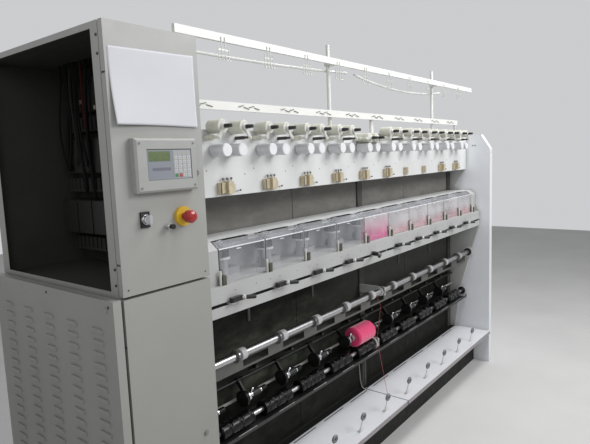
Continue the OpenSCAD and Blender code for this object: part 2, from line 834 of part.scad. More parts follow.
// Profile of one grooved drum, from its left end
function drum_profile(n, w) = concat(
    [[wind_shaft_r + 0.05, 0], [wind_r - 3, 0], [wind_r, 3]],
    [for (i = [1:n - 1]) for (p = [[wind_r, i * w - 3], [wind_r - groove, i * w], [wind_r, i * w + 3]]) p],
    [[wind_r, n * w - 3], [wind_r - 3, n * w], [wind_shaft_r + 0.05, n * w]]
);

module winding_drums() {
    grooves = 6;
    color([0.1, 0.1, 0.11]) placed()
        for (k = [0:heads - 1])
            translate([head_x(k) - wind_drum_len / 2, wind_y, wind_z])
                rotate([0, 90, 0])
                    rotate_extrude($fn = 48) polygon(drum_profile(grooves, wind_drum_len / grooves));
}

// Cradle of one head: its disc stands left of the bobbin, its mandrel reaches into it
module bobbin_cradle(k) {
    x = head_x(k) + cradle_dx;
    color([0.12, 0.12, 0.13]) placed()
        translate([x, cradle_rod_y, cradle_rod_z])
            rotate([cradle_angle(k), 0, 0])
                difference() {
                    union() {
                        translate([14, 0, 0]) rotate([0, 90, 0]) cylinder(h = 34, r = 11);
                        translate([20, 0, -9]) cube([10, cradle_arm, 18]);
                        translate([0, cradle_arm, 0]) rotate([0, 90, 0]) {
                            cylinder(h = 12, r = disc_r);
                            translate([0, 0, 12]) cylinder(h = 30, r = 19);
                            translate([0, 0, 42]) cylinder(h = 14, r = 14);
                            translate([0, 0, 56]) cylinder(h = cradle_reach - 60, r = mandrel_r);
                            translate([0, 0, cradle_reach - 4]) cylinder(h = 4, r1 = mandrel_r, r2 = mandrel_r - 3);
                        }
                    }
                    rotate([0, 90, 0]) cylinder(h = 200, r = cradle_rod_r + play, center = true);
                }
}

module bobbin() {
    x0 = head_x(running_head) + bobbin_dx[0];
    x1 = head_x(running_head) + bobbin_dx[1];
    chamfer = 8;
    color("hotpink") placed()
        difference() {
            union() {
                xrod(x0 + chamfer, x1 - chamfer, bobbin_y, bobbin_z, bobbin_r);
                xrod(x0 - core_out, x0 + 1, bobbin_y, bobbin_z, core_r);
                translate([x0, bobbin_y, bobbin_z]) rotate([0, 90, 0])
                    cylinder(h = chamfer, r1 = bobbin_r - chamfer, r2 = bobbin_r);
                translate([x1 - chamfer, bobbin_y, bobbin_z]) rotate([0, 90, 0])
                    cylinder(h = chamfer, r1 = bobbin_r, r2 = bobbin_r - chamfer);
            }
            xrod(x0 - core_out - 1, x1 + 1, bobbin_y, bobbin_z, mandrel_r + play);
        }
}

module shaft_trays() {
    x0 = inner_x0 + bearing_t + seat;
    x1 = inner_x1 - bearing_t - seat;
    color("lightgray") placed() {
        // Tray under the take-up shaft, with one window a head in its front
        difference() {
            xprism(x0, x1, [
                [182, take_z - 78], [post_y, take_z - 78], [post_y, take_z - 76], [184, take_z - 76],
                [184, take_z - 26], [182, take_z - 26]
            ]);
            for (k = [0:heads - 1])
                slab(head_x(k) + 40, head_x(k) + head_pitch - 60, 181, 185, take_z - 68, take_z - 36);
        }
        // Guard under the winding drums and the plate behind them
        xprism(x0, x1, [
            [168, wind_z - guard_drop], [post_y, wind_z - guard_drop], [post_y, wind_z - guard_drop + sheet],
            [170, wind_z - guard_drop + sheet],
            [170, wind_z - 30], [168, wind_z - 30]
        ]);
        xprism(x0, x1, [
            [280, wind_z + 48], [post_y, wind_z + 48], [post_y, wind_z + 50], [282, wind_z + 50],
            [282, wind_z + 60], [280, wind_z + 60]
        ]);
        // Rod that the cradles hang on, carried by the posts
        xrod(x0, x1, cradle_rod_y, cradle_rod_z, cradle_rod_r);
        for (x = [inner_x0 + 6, mid_x + 30, inner_x1 - 36])
            slab(x, x + 12, cradle_rod_y - 6, post_y, cradle_rod_z - 8, cradle_rod_z + 8);
    }
}

module yarn_shelf() {
    lip = 25;
    x0 = run_x0 + seat;
    x1 = run_x1 - seat;
    seam_x = mid_x - 21;
    color("white") placed()
        difference() {
            union() {
                slab(x0, x1, shelf_y0, shelf_y1, shelf_z - shelf_t, shelf_z);
                slab(x0, x1, shelf_y0, shelf_y0 + sheet, shelf_z - lip, shelf_z);
            }
            slab(seam_x - 1, seam_x + 1, shelf_y0 - 1, shelf_y1 + 1, shelf_z - lip - 1, shelf_z + 1);
            for (k = [0:heads - 1])
                slab(head_x(k) - 78, head_x(k) + 60, shelf_y1 - 18, shelf_y1 - 12, shelf_z - shelf_t - 1, shelf_z + 1);
        }
}

// Thick eyelet rings on stems that lean to the right and a little forward
module yarn_eyelets() {
    ring_r = 14;
    ring_t = 6.5;
    reach = 77.5;
    color("silver") placed()
        for (k = [0:heads - 1])
            translate([head_x(k) - 78, 40, shelf_z]) {
                cylinder(h = 3, r = 9);
                rotate([7.4, 18.2, 0]) {
                    cylinder(h = reach - ring_r, r = 2.2);
                    translate([0, 0, reach]) rotate([90, 0, 0])
                        rotate_extrude() translate([ring_r, 0]) circle(r = ring_t, $fn = 20);
                }
            }
}

// Rails
module thread_rails() {
    color("white") placed() {
        slab(rail_x0, run_x1 + end_t - 6, rail_y, rail_y + rail_t, rail_z - rail_h, rail_z);
        slab(cab_w + 1, rail2_x1, rail2_y, rail2_y + rail_t, rail2_z - rail2_h, rail2_z);
        // Masts behind the rails, with a clamp at each rail
        for (x = mast_x) {
            zrod(x, mast_y, feed_z1, mast_top, mast_r);
            slab(x - 14, x + 14, rail_y + rail_t - 0.5, mast_y + 12, rail_z - rail_h - 4, rail_z - 6);
            slab(x - 12, x + 12, rail2_y + rail_t - 0.5, mast_y + 10, rail2_z - 24, rail2_z - 4);
        }
        // Posts of the lower rail
        for (x = [[mid_x - 46, mid_x - 24], [rail2_x1 - 10, rail2_x1]])
            slab(x[0], x[1], rail2_y + rail_t - 0.5, rail2_y + rail_t + 12, feed_z1, rail2_z - 4);
        // Bowed tubes clamped to the masts
        guide_tube(mast_x[0] - 836, mast_x[0] + 185, rail_z - 57, 7, 1.35);
        guide_tube(mast_x[1] - 941, mast_x[1] + 160, rail_z - 54, 38, -0.8);
    }
}

// Bowed tube from x0 to x1, with the height of its ends, its sag and its tilt
module guide_tube(x0, x1, z, sag, tilt) {
    tube_r = 6;
    half_len = (x1 - x0) / 2;
    bow = (half_len * half_len + sag * sag) / (2 * sag);
    half = asin(half_len / bow);
    translate([(x0 + x1) / 2, mast_y + mast_r + tube_r - 1, z])
        rotate([0, -tilt, 0])
            translate([0, 0, bow * cos(half)])
                rotate([90, 0, 0])
                    rotate([0, 0, -90 - half])
                        rotate_extrude(angle = 2 * half, $fn = 64) translate([bow, 0]) circle(r = tube_r, $fn = 16);
}

// Bent guide wires of each head: two short and two long hooks on a bar, and a zigzag wire on the lower rail
module thread_guides() {
    wire = 1.6;
    hook_r = 5;
    hook_z = rail_z - rail_h - 62;
    bar_z = rail_z - rail_h - 30;
    color("silver") placed()
        for (k = [0:heads - 1]) {
            let (x = head_x(k) - 8)
                slab(x - 26, x + 30, rail_y - wire, rail_y, bar_z - 2, bar_z + 2);
            for (dx = [-26, -9, 9, 26])
                let (x = head_x(k) - 8 + dx, long = abs(dx) < 20) {
                    zrod(x, rail_y - wire, hook_z, long ? rail_z - 13 : bar_z + 14, wire);
                    translate([x + hook_r, rail_y - wire, hook_z]) rotate([-90, 0, 0])
                        rotate_extrude(angle = 180) translate([hook_r, 0]) circle(r = wire, $fn = 12);
                    if (long)
                        yrod(x, rail_y - 1, rail_y, rail_z - 20, wire);
                }
            for (i = [0:3])
                translate([head_x(k) - 189 + 30 * i, rail2_y - wire, rail2_z - 16])
                    rotate([0, i % 2 == 0 ? 78 : 102, 0]) cylinder(h = 31, r = wire * 0.75);
        }
}

upper_door();
lower_door();
emergency_stop_button();
selector_switch();
jog_button();
take_up_shaft();
winding_shaft();
winding_drums();
bobbin();
cabinet_shell();
louvre_cover();
electrical_gear();
operator_terminal();
control_bezels();
machine_frame();
back_panels();
end_plate();
bearing_plates();
feed_panel();
feed_drums();
pressure_rollers();
stop_motions();
bench();
knitting_heads();
fascia();
thread_rails();
thread_guides();
shaft_trays();
yarn_shelf();
yarn_eyelets();
needle_cover(0);  // needle_cover_1
needle_cover(1);  // needle_cover_2
needle_cover(2);  // needle_cover_3
needle_cover(3);  // needle_cover_4
needle_cover(4);  // needle_cover_5
needle_cover(5);  // needle_cover_6
needle_cover(6);  // needle_cover_7
needle_cover(7);  // needle_cover_8
needle_cover(8);  // needle_cover_9
needle_cover(9);  // needle_cover_10
start_lever(0);  // start_lever_1
start_lever(1);  // start_lever_2
start_lever(2);  // start_lever_3
start_lever(3);  // start_lever_4
start_lever(4);  // start_lever_5
start_lever(5);  // start_lever_6
start_lever(6);  // start_lever_7
start_lever(7);  // start_lever_8
start_lever(8);  // start_lever_9
start_lever(9);  // start_lever_10
bobbin_cradle(0);  // bobbin_cradle_1
bobbin_cradle(1);  // bobbin_cradle_2
bobbin_cradle(2);  // bobbin_cradle_3
bobbin_cradle(3);  // bobbin_cradle_4
bobbin_cradle(4);  // bobbin_cradle_5
bobbin_cradle(5);  // bobbin_cradle_6
bobbin_cradle(6);  // bobbin_cradle_7
bobbin_cradle(7);  // bobbin_cradle_8
bobbin_cradle(8);  // bobbin_cradle_9
bobbin_cradle(9);  // bobbin_cradle_10
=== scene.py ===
import bpy
import math
from mathutils import Matrix, Vector

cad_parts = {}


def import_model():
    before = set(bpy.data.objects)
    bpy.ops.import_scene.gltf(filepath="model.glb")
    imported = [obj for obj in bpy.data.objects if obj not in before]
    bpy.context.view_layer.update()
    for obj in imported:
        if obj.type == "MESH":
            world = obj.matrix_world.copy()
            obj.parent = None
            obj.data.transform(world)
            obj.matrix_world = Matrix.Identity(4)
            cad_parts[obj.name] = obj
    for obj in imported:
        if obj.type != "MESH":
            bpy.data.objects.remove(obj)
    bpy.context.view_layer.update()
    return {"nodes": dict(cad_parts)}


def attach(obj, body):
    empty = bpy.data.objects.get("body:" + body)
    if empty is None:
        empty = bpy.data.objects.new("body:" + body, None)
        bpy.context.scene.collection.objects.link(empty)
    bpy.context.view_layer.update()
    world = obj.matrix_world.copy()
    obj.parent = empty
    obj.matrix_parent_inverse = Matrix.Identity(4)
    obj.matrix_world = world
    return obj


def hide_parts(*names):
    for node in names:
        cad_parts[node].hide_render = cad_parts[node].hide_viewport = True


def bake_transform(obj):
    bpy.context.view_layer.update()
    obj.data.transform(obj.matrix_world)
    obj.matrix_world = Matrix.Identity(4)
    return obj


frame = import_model()
nodes = frame["nodes"]
scene = bpy.context.scene

# Building axes of the part's source (mm) to the row frame (m)
SX, SY = -1562.5, -345.0
PITCH, FIRST, HEADS = 255.0, 600.0, 10
RUNNING = 4  # the head that is at work, counted from 0

# Axes along X that several pieces share, as (Y, Z) in building mm
TAKE_UP, WINDING, COVER_HINGE, CRADLE_ROD = (160, 850), (207, 543), (147, 1317), (286, 676)
HUB, RUNNING_HUB = (239.0, 612.0), (222.0, 629.0)

# Left ends of a cradle and a cover and the pin of a start lever, in mm from the centre of their head
CRADLE_X, COVER_X, LEVER_X = -175, -130, -122
COVER_WIDTH = 248
GAP_X = 466.5  # middle of the gap left of the first cover, in building mm

# Start levers: Y and Z of the pin, length of the arm, swing of the running one, bend of the grip
LEVER_Y, LEVER_Z, LEVER_ARM, LEVER_SWING, LEVER_BEND = 58, 1116, 42, 110, 42

SHEET_Y = 309.6  # just in front of the rear sheets
FRONT, LEFT, RIGHT = (0, -1, 0), (-1, 0, 0), (1, 0, 0)
SPLIT_ANGLE = math.radians(35)


def P(x, y, z):
    """A point given in building mm, in the row frame."""
    return Vector(((x + SX) / 1000, (y + SY) / 1000, z / 1000))


def mm(c):
    """A point of the row frame back in building mm."""
    return c.x * 1000 - SX, c.y * 1000 - SY, c.z * 1000


def head(k):
    """Centre of a head along X, in building mm."""
    return FIRST + PITCH * k


def camera():
    """The photograph's view, as it was solved on the cabinet and the row."""
    yaw, pitch, roll = math.radians(51.614), math.radians(6.95), math.radians(-2.246)
    focal, width, sensor = 525.6, 590, 36  # focal length and width in pixels, sensor in mm
    fwd = Vector((math.sin(yaw) * math.cos(pitch), math.cos(yaw) * math.cos(pitch), -math.sin(pitch)))
    level = Vector((math.cos(yaw), -math.sin(yaw), 0))
    up = level.cross(fwd)
    right = level * math.cos(roll) + up * math.sin(roll)
    top = -level * math.sin(roll) + up * math.cos(roll)
    data = bpy.data.cameras.new("camera")
    data.sensor_width = sensor
    data.lens = focal * sensor / width
    data.clip_start, data.clip_end = 0.05, 60
    cam = bpy.data.objects.new("camera", data)
    scene.collection.objects.link(cam)
    m = Matrix((right, top, -fwd)).transposed().to_4x4()
    m.translation = Vector((-0.8222 + SX / 1000, -1.2728 + SY / 1000, 1.6149))
    cam.matrix_world = m
    scene.camera = cam


# Helpers for materials
def new_mat(name):
    m = bpy.data.materials.new(name)
    m.use_nodes = True
    return m, m.node_tree.nodes, m.node_tree.links, m.node_tree.nodes["Principled BSDF"]


def ramp(nt, fac, stops):
    r = nt.nodes.new("ShaderNodeValToRGB")
    els = r.color_ramp.elements
    while len(els) < len(stops):
        els.new(0.5)
    for e, (p, c) in zip(els, stops):
        e.position = p
        e.color = (*c, 1) if len(c) == 3 else c
    nt.links.new(fac, r.inputs[0])
    return r.outputs[0]


def noise(nt, coord, scale, detail=4.0, rough=0.55, stretch=None):
    n = nt.nodes.new("ShaderNodeTexNoise")
    n.inputs["Scale"].default_value = scale
    n.inputs["Detail"].default_value = detail
    n.inputs["Roughness"].default_value = rough
    if stretch:
        mp = nt.nodes.new("ShaderNodeMapping")
        mp.inputs["Scale"].default_value = stretch
        nt.links.new(coord, mp.inputs["Vector"])
        coord = mp.outputs[0]
    nt.links.new(coord, n.inputs["Vector"])
    return n.outputs["Fac"]


def maprange(nt, fac, a, b, lo=0.3, hi=0.7):
    """The factor, from a at lo to b at hi."""
    m = nt.nodes.new("ShaderNodeMapRange")
    m.inputs["From Min"].default_value = lo
    m.inputs["From Max"].default_value = hi
    m.inputs["To Min"].default_value = a
    m.inputs["To Max"].default_value = b
    nt.links.new(fac, m.inputs["Value"])
    return m.outputs[0]


def math_node(nt, operation, *values):
    """A math node on sockets and plain numbers."""
    n = nt.nodes.new("ShaderNodeMath")
    n.operation = operation
    for socket, value in zip(n.inputs, values):
        if isinstance(value, (int, float)):
            socket.default_value = value
        else:
            nt.links.new(value, socket)
    return n.outputs[0]


def mixed(nt, fac, a, b, blend="MIX"):
    """Colour a with b laid over it by the factor; b is a socket or a plain colour."""
    mix = nt.nodes.new("ShaderNodeMix")
    mix.data_type = "RGBA"
    mix.blend_type = blend
    nt.links.new(fac, mix.inputs["Factor"])
    nt.links.new(a, mix.inputs["A"])
    if isinstance(b, tuple):
        mix.inputs["B"].default_value = (*b, 1)
    else:
        nt.links.new(b, mix.inputs["B"])
    return mix.outputs["Result"]


def tint(c, k):
    return tuple(min(1.0, v * k) for v in c)


def finish_mat(name, base, rough=0.45, metal=0.0, vary=0.06, vscale=6.0, fine=900.0, bump=0.02,
               bdist=0.0004, spread=0.08, coat=0.0, spec=0.5, stretch=None, corner_shade=0.0,
               corner_shade_col=(0.25, 0.23, 0.20), sheen=0.0, low=None):
    """A surface with slow colour drift, uneven gloss and fine grain.

    vary and vscale are the depth and the scale of the drift, spread is how far the gloss wanders, fine and
    bump are the scale and the height of the grain. Where asked, corner_shade darkens the occluded corners
    towards corner_shade_col as painted shade, and low multiplies its colour in towards the floor as painted
    shade.
    """
    m, nd, ln, b = new_mat(name)
    nt = m.node_tree
    tc = nd.new("ShaderNodeTexCoord").outputs["Object"]
    big = noise(nt, tc, vscale, 5.0, 0.6, stretch)
    col = ramp(nt, big, [(0.3, tint(base, 1 - vary)), (0.7, tint(base, 1 + vary * 0.5))])
    # Painted shade: corners that ambient occlusion finds hidden darken towards corner_shade_col
    if corner_shade:
        ao = nd.new("ShaderNodeAmbientOcclusion")
        ao.samples = 6
        ao.inputs["Distance"].default_value = 0.05
        col = mixed(nt, maprange(nt, ao.outputs["AO"], corner_shade, 0.0, 0.15, 0.85), col, corner_shade_col)
    # Painted shade: the colour low is multiplied in more and more towards the floor
    if low:
        sep = nd.new("ShaderNodeSeparateXYZ")
        ln.new(tc, sep.inputs[0])
        col = mixed(nt, maprange(nt, sep.outputs["Z"], 1.0, 0.0, 0.1, 1.95), col, low, "MULTIPLY")
    ln.new(col, b.inputs["Base Color"])
    ln.new(maprange(nt, noise(nt, tc, vscale * 9, 6.0, 0.6, stretch), rough - spread, rough + spread),
           b.inputs["Roughness"])
    b.inputs["Metallic"].default_value = metal
    b.inputs["Specular IOR Level"].default_value = spec
    b.inputs["Coat Weight"].default_value = coat
    b.inputs["Coat Roughness"].default_value = 0.12
    b.inputs["Sheen Weight"].default_value = sheen
    if bump:
        bp = nd.new("ShaderNodeBump")
        bp.inputs["Strength"].default_value = bump
        bp.inputs["Distance"].default_value = bdist
        ln.new(noise(nt, tc, fine, 3.0, 0.5, stretch), bp.inputs["Height"])
        ln.new(bp.outputs[0], b.inputs["Normal"])
    return m


def back_mat():
    """The rear sheets: warm grey above the bench, nearly black under it as painted shade over dark
    mechanism, stained at the cradles.
    """
    m, nd, ln, b = new_mat("back_sheet_tones")
    nt = m.node_tree
    tc = nd.new("ShaderNodeTexCoord").outputs["Object"]
    sep = nd.new("ShaderNodeSeparateXYZ")
    ln.new(tc, sep.inputs[0])
    x, z = sep.outputs["X"], sep.outputs["Z"]
    height = math_node(nt, "MULTIPLY_ADD", noise(nt, tc, 7, 5.0, 0.6), 0.06, z)
    level = maprange(nt, height, 0.0, 1.0, 0.25, 1.75)
    b.inputs["Specular IOR Level"].default_value = 0.12
    # Painted shade: nearly black under the drums and under the bench, over dark mechanism there; the
    # green-grey band is the plate behind
    base = ramp(nt, level, [(0.20, (0.012, 0.012, 0.010)), (0.26, (0.042, 0.045, 0.036)),
                            (0.40, (0.045, 0.047, 0.039)), (0.47, (0.030, 0.030, 0.025)),
                            (0.52, (0.010, 0.010, 0.008)), (0.64, (0.010, 0.010, 0.008)),
                            (0.70, (0.195, 0.190, 0.177))])
    blot = ramp(nt, noise(nt, tc, 5.5, 6.0, 0.65, (1, 1, 2.4)),
                [(0.36, (0.45, 0.45, 0.45)), (0.52, (0.95, 0.95, 0.95)), (0.66, (1.75, 1.72, 1.68))])
    stained = mixed(nt, maprange(nt, z, 1.0, 0.25, 1.15, 1.35), base, blot, "MULTIPLY")
    # the painted shade under the bench is paler in the right half
    right_half = math_node(nt, "MULTIPLY", maprange(nt, x, 0.0, 1.0, -0.35, 0.35),
                           maprange(nt, z, 1.0, 0.0, 1.15, 1.35))
    pale = ramp(nt, level, [(0.36, (0.012, 0.012, 0.010)), (0.56, (0.15, 0.15, 0.135))])
    ln.new(mixed(nt, right_half, stained, pale), b.inputs["Base Color"])
    ln.new(maprange(nt, noise(nt, tc, 20, 5.0), 0.50, 0.68), b.inputs["Roughness"])
    return m


def clear_mat(name, base, alpha, low=None, z0=1.18, z1=1.30):
    """Clear sheet with a pale, uneven haze, and where asked a stain that fades from z0 up to z1."""
    m, nd, ln, b = new_mat(name)
    nt = m.node_tree
    tc = nd.new("ShaderNodeTexCoord").outputs["Object"]
    if low:
        sep = nd.new("ShaderNodeSeparateXYZ")
        ln.new(tc, sep.inputs[0])
        height = math_node(nt, "MULTIPLY_ADD", noise(nt, tc, 14, 5.0, 0.6), 0.05, sep.outputs["Z"])
        col = ramp(nt, maprange(nt, height, 0.0, 1.0, z0, z1), [(0.0, low), (1.0, base)])
    else:
        col = ramp(nt, noise(nt, tc, 5, 4.0), [(0.3, tint(base, 0.94)), (0.7, base)])
    ln.new(col, b.inputs["Base Color"])
    haze = maprange(nt, noise(nt, tc, 7, 2.0, 0.45), alpha * 0.75, min(1, alpha * 1.3))
    ln.new(haze, b.inputs["Alpha"])
    ln.new(maprange(nt, noise(nt, tc, 12, 2.0), 0.10, 0.20), b.inputs["Roughness"])
    b.inputs["IOR"].default_value = 1.49
    return m


def lcd_mat():
    """The display, unlit and green."""
    m, nd, ln, b = new_mat("lcd_green")
    nt = m.node_tree
    tc = nd.new("ShaderNodeTexCoord").outputs["Object"]
    col = ramp(nt, noise(nt, tc, 50, 2.0), [(0.3, (0.115, 0.155, 0.070)), (0.7, (0.145, 0.19, 0.085))])
    ln.new(col, b.inputs["Base Color"])
    b.inputs["Roughness"].default_value = 0.18
    return m


# Materials by the key that the pieces name
M = {
    # Painted shade on the cabinet: darker towards the floor, with a faint yellow stain, and darker in its
    # corners
    "cabinet": finish_mat("cabinet_powder_coat", (0.405, 0.405, 0.392), 0.42, vary=0.06, vscale=2.2,
                          fine=700, bump=0.25, corner_shade=0.4, low=(0.60, 0.61, 0.56)),
    "frame": finish_mat("frame_powder_coat", (0.56, 0.57, 0.55), 0.42, vary=0.06, vscale=3, fine=700,
                        bump=0.22, corner_shade=0.4),
    "bench_white": finish_mat("bench_white_paint", (0.46, 0.465, 0.46), 0.40, vary=0.05, vscale=4, fine=800,
                              bump=0.15, corner_shade=0.35),
    "compartment": finish_mat("compartment_shade", (0.40, 0.41, 0.43), 0.5, vary=0.2, vscale=9, fine=600,
                              bump=0.15),
    "catch": finish_mat("catch_olive_metal", (0.115, 0.112, 0.09), 0.42, 0.4, vary=0.3, vscale=40, fine=900,
                        bump=0.2),
    "knob_grey": finish_mat("knob_grey", (0.20, 0.20, 0.205), 0.4, vary=0.2, vscale=30, bump=0.1),
    "plate_white": finish_mat("end_plate_paint", (0.80, 0.82, 0.85), 0.42, vary=0.06, vscale=3, fine=700,
                              bump=0.2, corner_shade=0.4),
    "panel": finish_mat("panel_white_paint", (0.74, 0.75, 0.75), 0.40, vary=0.05, vscale=4, fine=800,
                        bump=0.15, corner_shade=0.35),
    "rail_white": finish_mat("rail_white_paint", (0.80, 0.80, 0.775), 0.40, vary=0.05, vscale=4, fine=800,
                             bump=0.15, corner_shade=0.35),
    "shelf": finish_mat("shelf_white_paint", (0.76, 0.765, 0.80), 0.36, vary=0.05, vscale=5, fine=800,
                        bump=0.12, corner_shade=0.3),
    "shelf_edge": finish_mat("shelf_edge_shade", (0.30, 0.275, 0.285), 0.42, vary=0.15, vscale=9, fine=800,
                             bump=0.12),
    "tray": finish_mat("tray_grey_sheet", (0.13, 0.13, 0.122), 0.45, 0.3, vary=0.14, vscale=7, fine=500,
                       bump=0.1, corner_shade=0.5),
    "fold_highlight": finish_mat("fold_edge_highlight", (0.42, 0.42, 0.40), 0.4, vary=0.2, vscale=12, fine=500,
                            bump=0.1),
    "tray_black": finish_mat("guard_black", (0.022, 0.022, 0.022), 0.4, vary=0.2, vscale=7, fine=500,
                             bump=0.1),
    "plinth": finish_mat("shadow_and_seam_black", (0.014, 0.014, 0.013), 0.6, vary=0.2, vscale=3, fine=600, bump=0.2,
                         spec=0.2),
    "post": finish_mat("post_shaded_grey", (0.070, 0.070, 0.064), 0.5, vary=0.14, vscale=3, fine=600,
                       bump=0.2, spec=0.3),
    "hose": finish_mat("hose_pale_green", (0.24, 0.25, 0.21), 0.45, vary=0.1, vscale=20, bump=0.1),
    # Painted shade: the cabinet's bay and all that hangs and sits in it drawn very dark, the pale cables
    # too
    "inside": finish_mat("cabinet_inside_shade", (0.030, 0.032, 0.024), 0.7, vary=0.25, vscale=5, fine=500,
                         bump=0.1),
    "gear": finish_mat("electrical_plastic", (0.016, 0.017, 0.014), 0.5, vary=0.35, vscale=9, bump=0.1),
    "duct": finish_mat("cable_duct_grey", (0.022, 0.023, 0.020), 0.55, vary=0.2, vscale=9, bump=0.1),
    "cable": finish_mat("cable_black", (0.006, 0.006, 0.006), 0.8, vary=0.2, vscale=30, bump=0.1,
                        spec=0.15),
    "cable_red": finish_mat("cable_red", (0.07, 0.008, 0.008), 0.8, vary=0.2, vscale=30, bump=0.1,
                            spec=0.15),
    "cable_pale": finish_mat("cable_pale", (0.026, 0.026, 0.023), 0.8, vary=0.2, vscale=30, bump=0.1,
                             spec=0.15),
    "terminal": finish_mat("terminal_grey_plastic", (0.375, 0.38, 0.365), 0.5, vary=0.04, vscale=14,
                           fine=1500, bump=0.3),
    "membrane": finish_mat("membrane_grey", (0.25, 0.265, 0.30), 0.38, vary=0.06, vscale=20, bump=0.05),
    "bezel": finish_mat("display_bezel", (0.12, 0.17, 0.085), 0.3, vary=0.05, vscale=20, bump=0.02),
    "strip": finish_mat("membrane_dark_strip", (0.16, 0.16, 0.20), 0.45, vary=0.08, vscale=20, bump=0.02),
    "plate_pale": finish_mat("keypad_plate", (0.38, 0.40, 0.42), 0.42, vary=0.05, vscale=20, bump=0.03),
    "key_white": finish_mat("key_white", (0.50, 0.51, 0.52), 0.4, vary=0.03, vscale=30, bump=0.05),
    "key_green": finish_mat("key_green", (0.07, 0.20, 0.10), 0.4, vary=0.05, vscale=30, bump=0.05),
    "key_red": finish_mat("key_red", (0.36, 0.07, 0.06), 0.4, vary=0.05, vscale=30, bump=0.05),
    "yellow": finish_mat("collar_yellow", (0.64, 0.41, 0.03), 0.42, vary=0.06, vscale=30, bump=0.1),
    "red": finish_mat("mushroom_red", (0.36, 0.014, 0.012), 0.28, vary=0.08, vscale=30, bump=0.05,
                      coat=0.4),
    "black": finish_mat("black_plastic", (0.014, 0.014, 0.015), 0.32, vary=0.3, vscale=20, fine=1200,
                        bump=0.12),
    "rubber": finish_mat("black_grip", (0.018, 0.018, 0.019), 0.5, vary=0.3, vscale=20, fine=900, bump=0.4),
    "chrome": finish_mat("polished_chrome", (0.72, 0.73, 0.74), 0.14, 1.0, vary=0.06, vscale=25, bump=0.03,
                         spread=0.05),
    "steel": finish_mat("ground_steel", (0.50, 0.50, 0.505), 0.30, 1.0, vary=0.08, vscale=5, fine=300,
                        bump=0.0, spread=0.03),
    "dark_steel": finish_mat("dark_spring_steel", (0.10, 0.095, 0.09), 0.35, 0.7, vary=0.2, vscale=30,
                             bump=0.1),
    "drum_body": finish_mat("drum_grey_blue", (0.62, 0.63, 0.655), 0.34, 0.2, vary=0.12, vscale=16,
                            fine=500, bump=0.12, spread=0.08),
    "drum_face": finish_mat("drum_white_face", (0.80, 0.81, 0.83), 0.3, 0.0, vary=0.05, vscale=20,
                            bump=0.05),
    "olive": finish_mat("roller_olive_cover", (0.64, 0.64, 0.555), 0.55, vary=0.16, vscale=16, fine=900,
                        bump=0.25, corner_shade=0.35),
    "collar": finish_mat("collar_light_grey", (0.50, 0.49, 0.50), 0.45, vary=0.1, vscale=20, fine=900,
                         bump=0.15, corner_shade=0.3),
    "cream": finish_mat("roller_cream_flange", (0.66, 0.66, 0.58), 0.45, vary=0.08, vscale=20, fine=900,
                        bump=0.15, corner_shade=0.3),
    "arm_white": finish_mat("arm_pale_metal", (0.66, 0.66, 0.62), 0.4, vary=0.1, vscale=20, fine=900,
                            bump=0.15, corner_shade=0.35),
    "brass": finish_mat("brass_block", (0.64, 0.56, 0.40), 0.42, 0.3, vary=0.24, vscale=60, fine=900,
                        bump=0.2, corner_shade=0.5, corner_shade_col=(0.12, 0.08, 0.03)),
    "gloss_black": finish_mat("gloss_black_drum", (0.004, 0.004, 0.0045), 0.2, vary=0.3, vscale=16,
                              bump=0.03, spread=0.04, coat=0.12, spec=0.24),
    "cradle": finish_mat("cradle_black_paint", (0.010, 0.010, 0.010), 0.36, vary=0.3, vscale=20, fine=600,
                         bump=0.1, spec=0.2),
    "head_dark": finish_mat("head_oiled_steel", (0.018, 0.018, 0.018), 0.5, 0.0, vary=0.25, vscale=18,
                            bump=0.1),
    "head_light": finish_mat("head_pale_alloy", (0.42, 0.42, 0.44), 0.4, 0.4, vary=0.12, vscale=18,
                             bump=0.1),
    "wire": finish_mat("pale_wire", (0.62, 0.62, 0.58), 0.32, 0.35, vary=0.08, vscale=30, bump=0.05),
    "ring_grey": finish_mat("eyelet_grey_ceramic", (0.20, 0.20, 0.205), 0.3, 0.2, vary=0.1, vscale=30,
                            bump=0.05),
    "yarn": finish_mat("pink_yarn", (0.78, 0.03, 0.16), 0.75, vary=0.14, vscale=30, fine=420, bump=0.6,
                       bdist=0.001, sheen=0.5, stretch=(6, 1, 1)),
    "core": finish_mat("bobbin_core_grey", (0.34, 0.33, 0.30), 0.6, vary=0.1, vscale=30, bump=0.1),
    "thread": finish_mat("red_thread", (0.36, 0.07, 0.06), 0.8, vary=0.15, vscale=60, fine=900, bump=0.2,
                         sheen=0.3),
    "paper": finish_mat("paper_sheet", (0.63, 0.64, 0.68), 0.7, vary=0.03, vscale=6, fine=900, bump=0.15),
}
M["back"] = back_mat()
M["clear"] = clear_mat("clear_cover", (0.74, 0.76, 0.81), 0.095)
# Painted light on the covers: denser haze on the tops as painted reflection, nearly opaque pale edges as
# painted highlight
M["clear_top_reflection"] = clear_mat("clear_cover_top_reflection", (0.72, 0.74, 0.79), 0.19)
M["clear_highlight"] = clear_mat("clear_cover_highlight", (0.80, 0.82, 0.85), 0.85)
M["clear_pink"] = clear_mat("clear_cover_pink", (0.88, 0.80, 0.84), 0.40, (0.90, 0.16, 0.42), 1.19, 1.31)
M["clear_blush"] = clear_mat("clear_cover_blush", (0.88, 0.86, 0.88), 0.31, (0.82, 0.40, 0.45),
                             1.175, 1.265)
M["lcd"] = lcd_mat()


# Painting the CAD nodes: a rule gets a face's centre and normal and gives the number of its material
def paint(name, mats, rule=None):
    me = nodes[name].data
    me.materials.clear()
    for key in mats:
        me.materials.append(M[key])
    for p in me.polygons:
        p.material_index = rule(p.center, p.normal) if rule else 0


def near(c, x, z, r):
    """Whether a point is within r of an axis that runs front to back, in mm."""
    bx, _, bz = mm(c)
    return math.hypot(bx - x, bz - z) < r


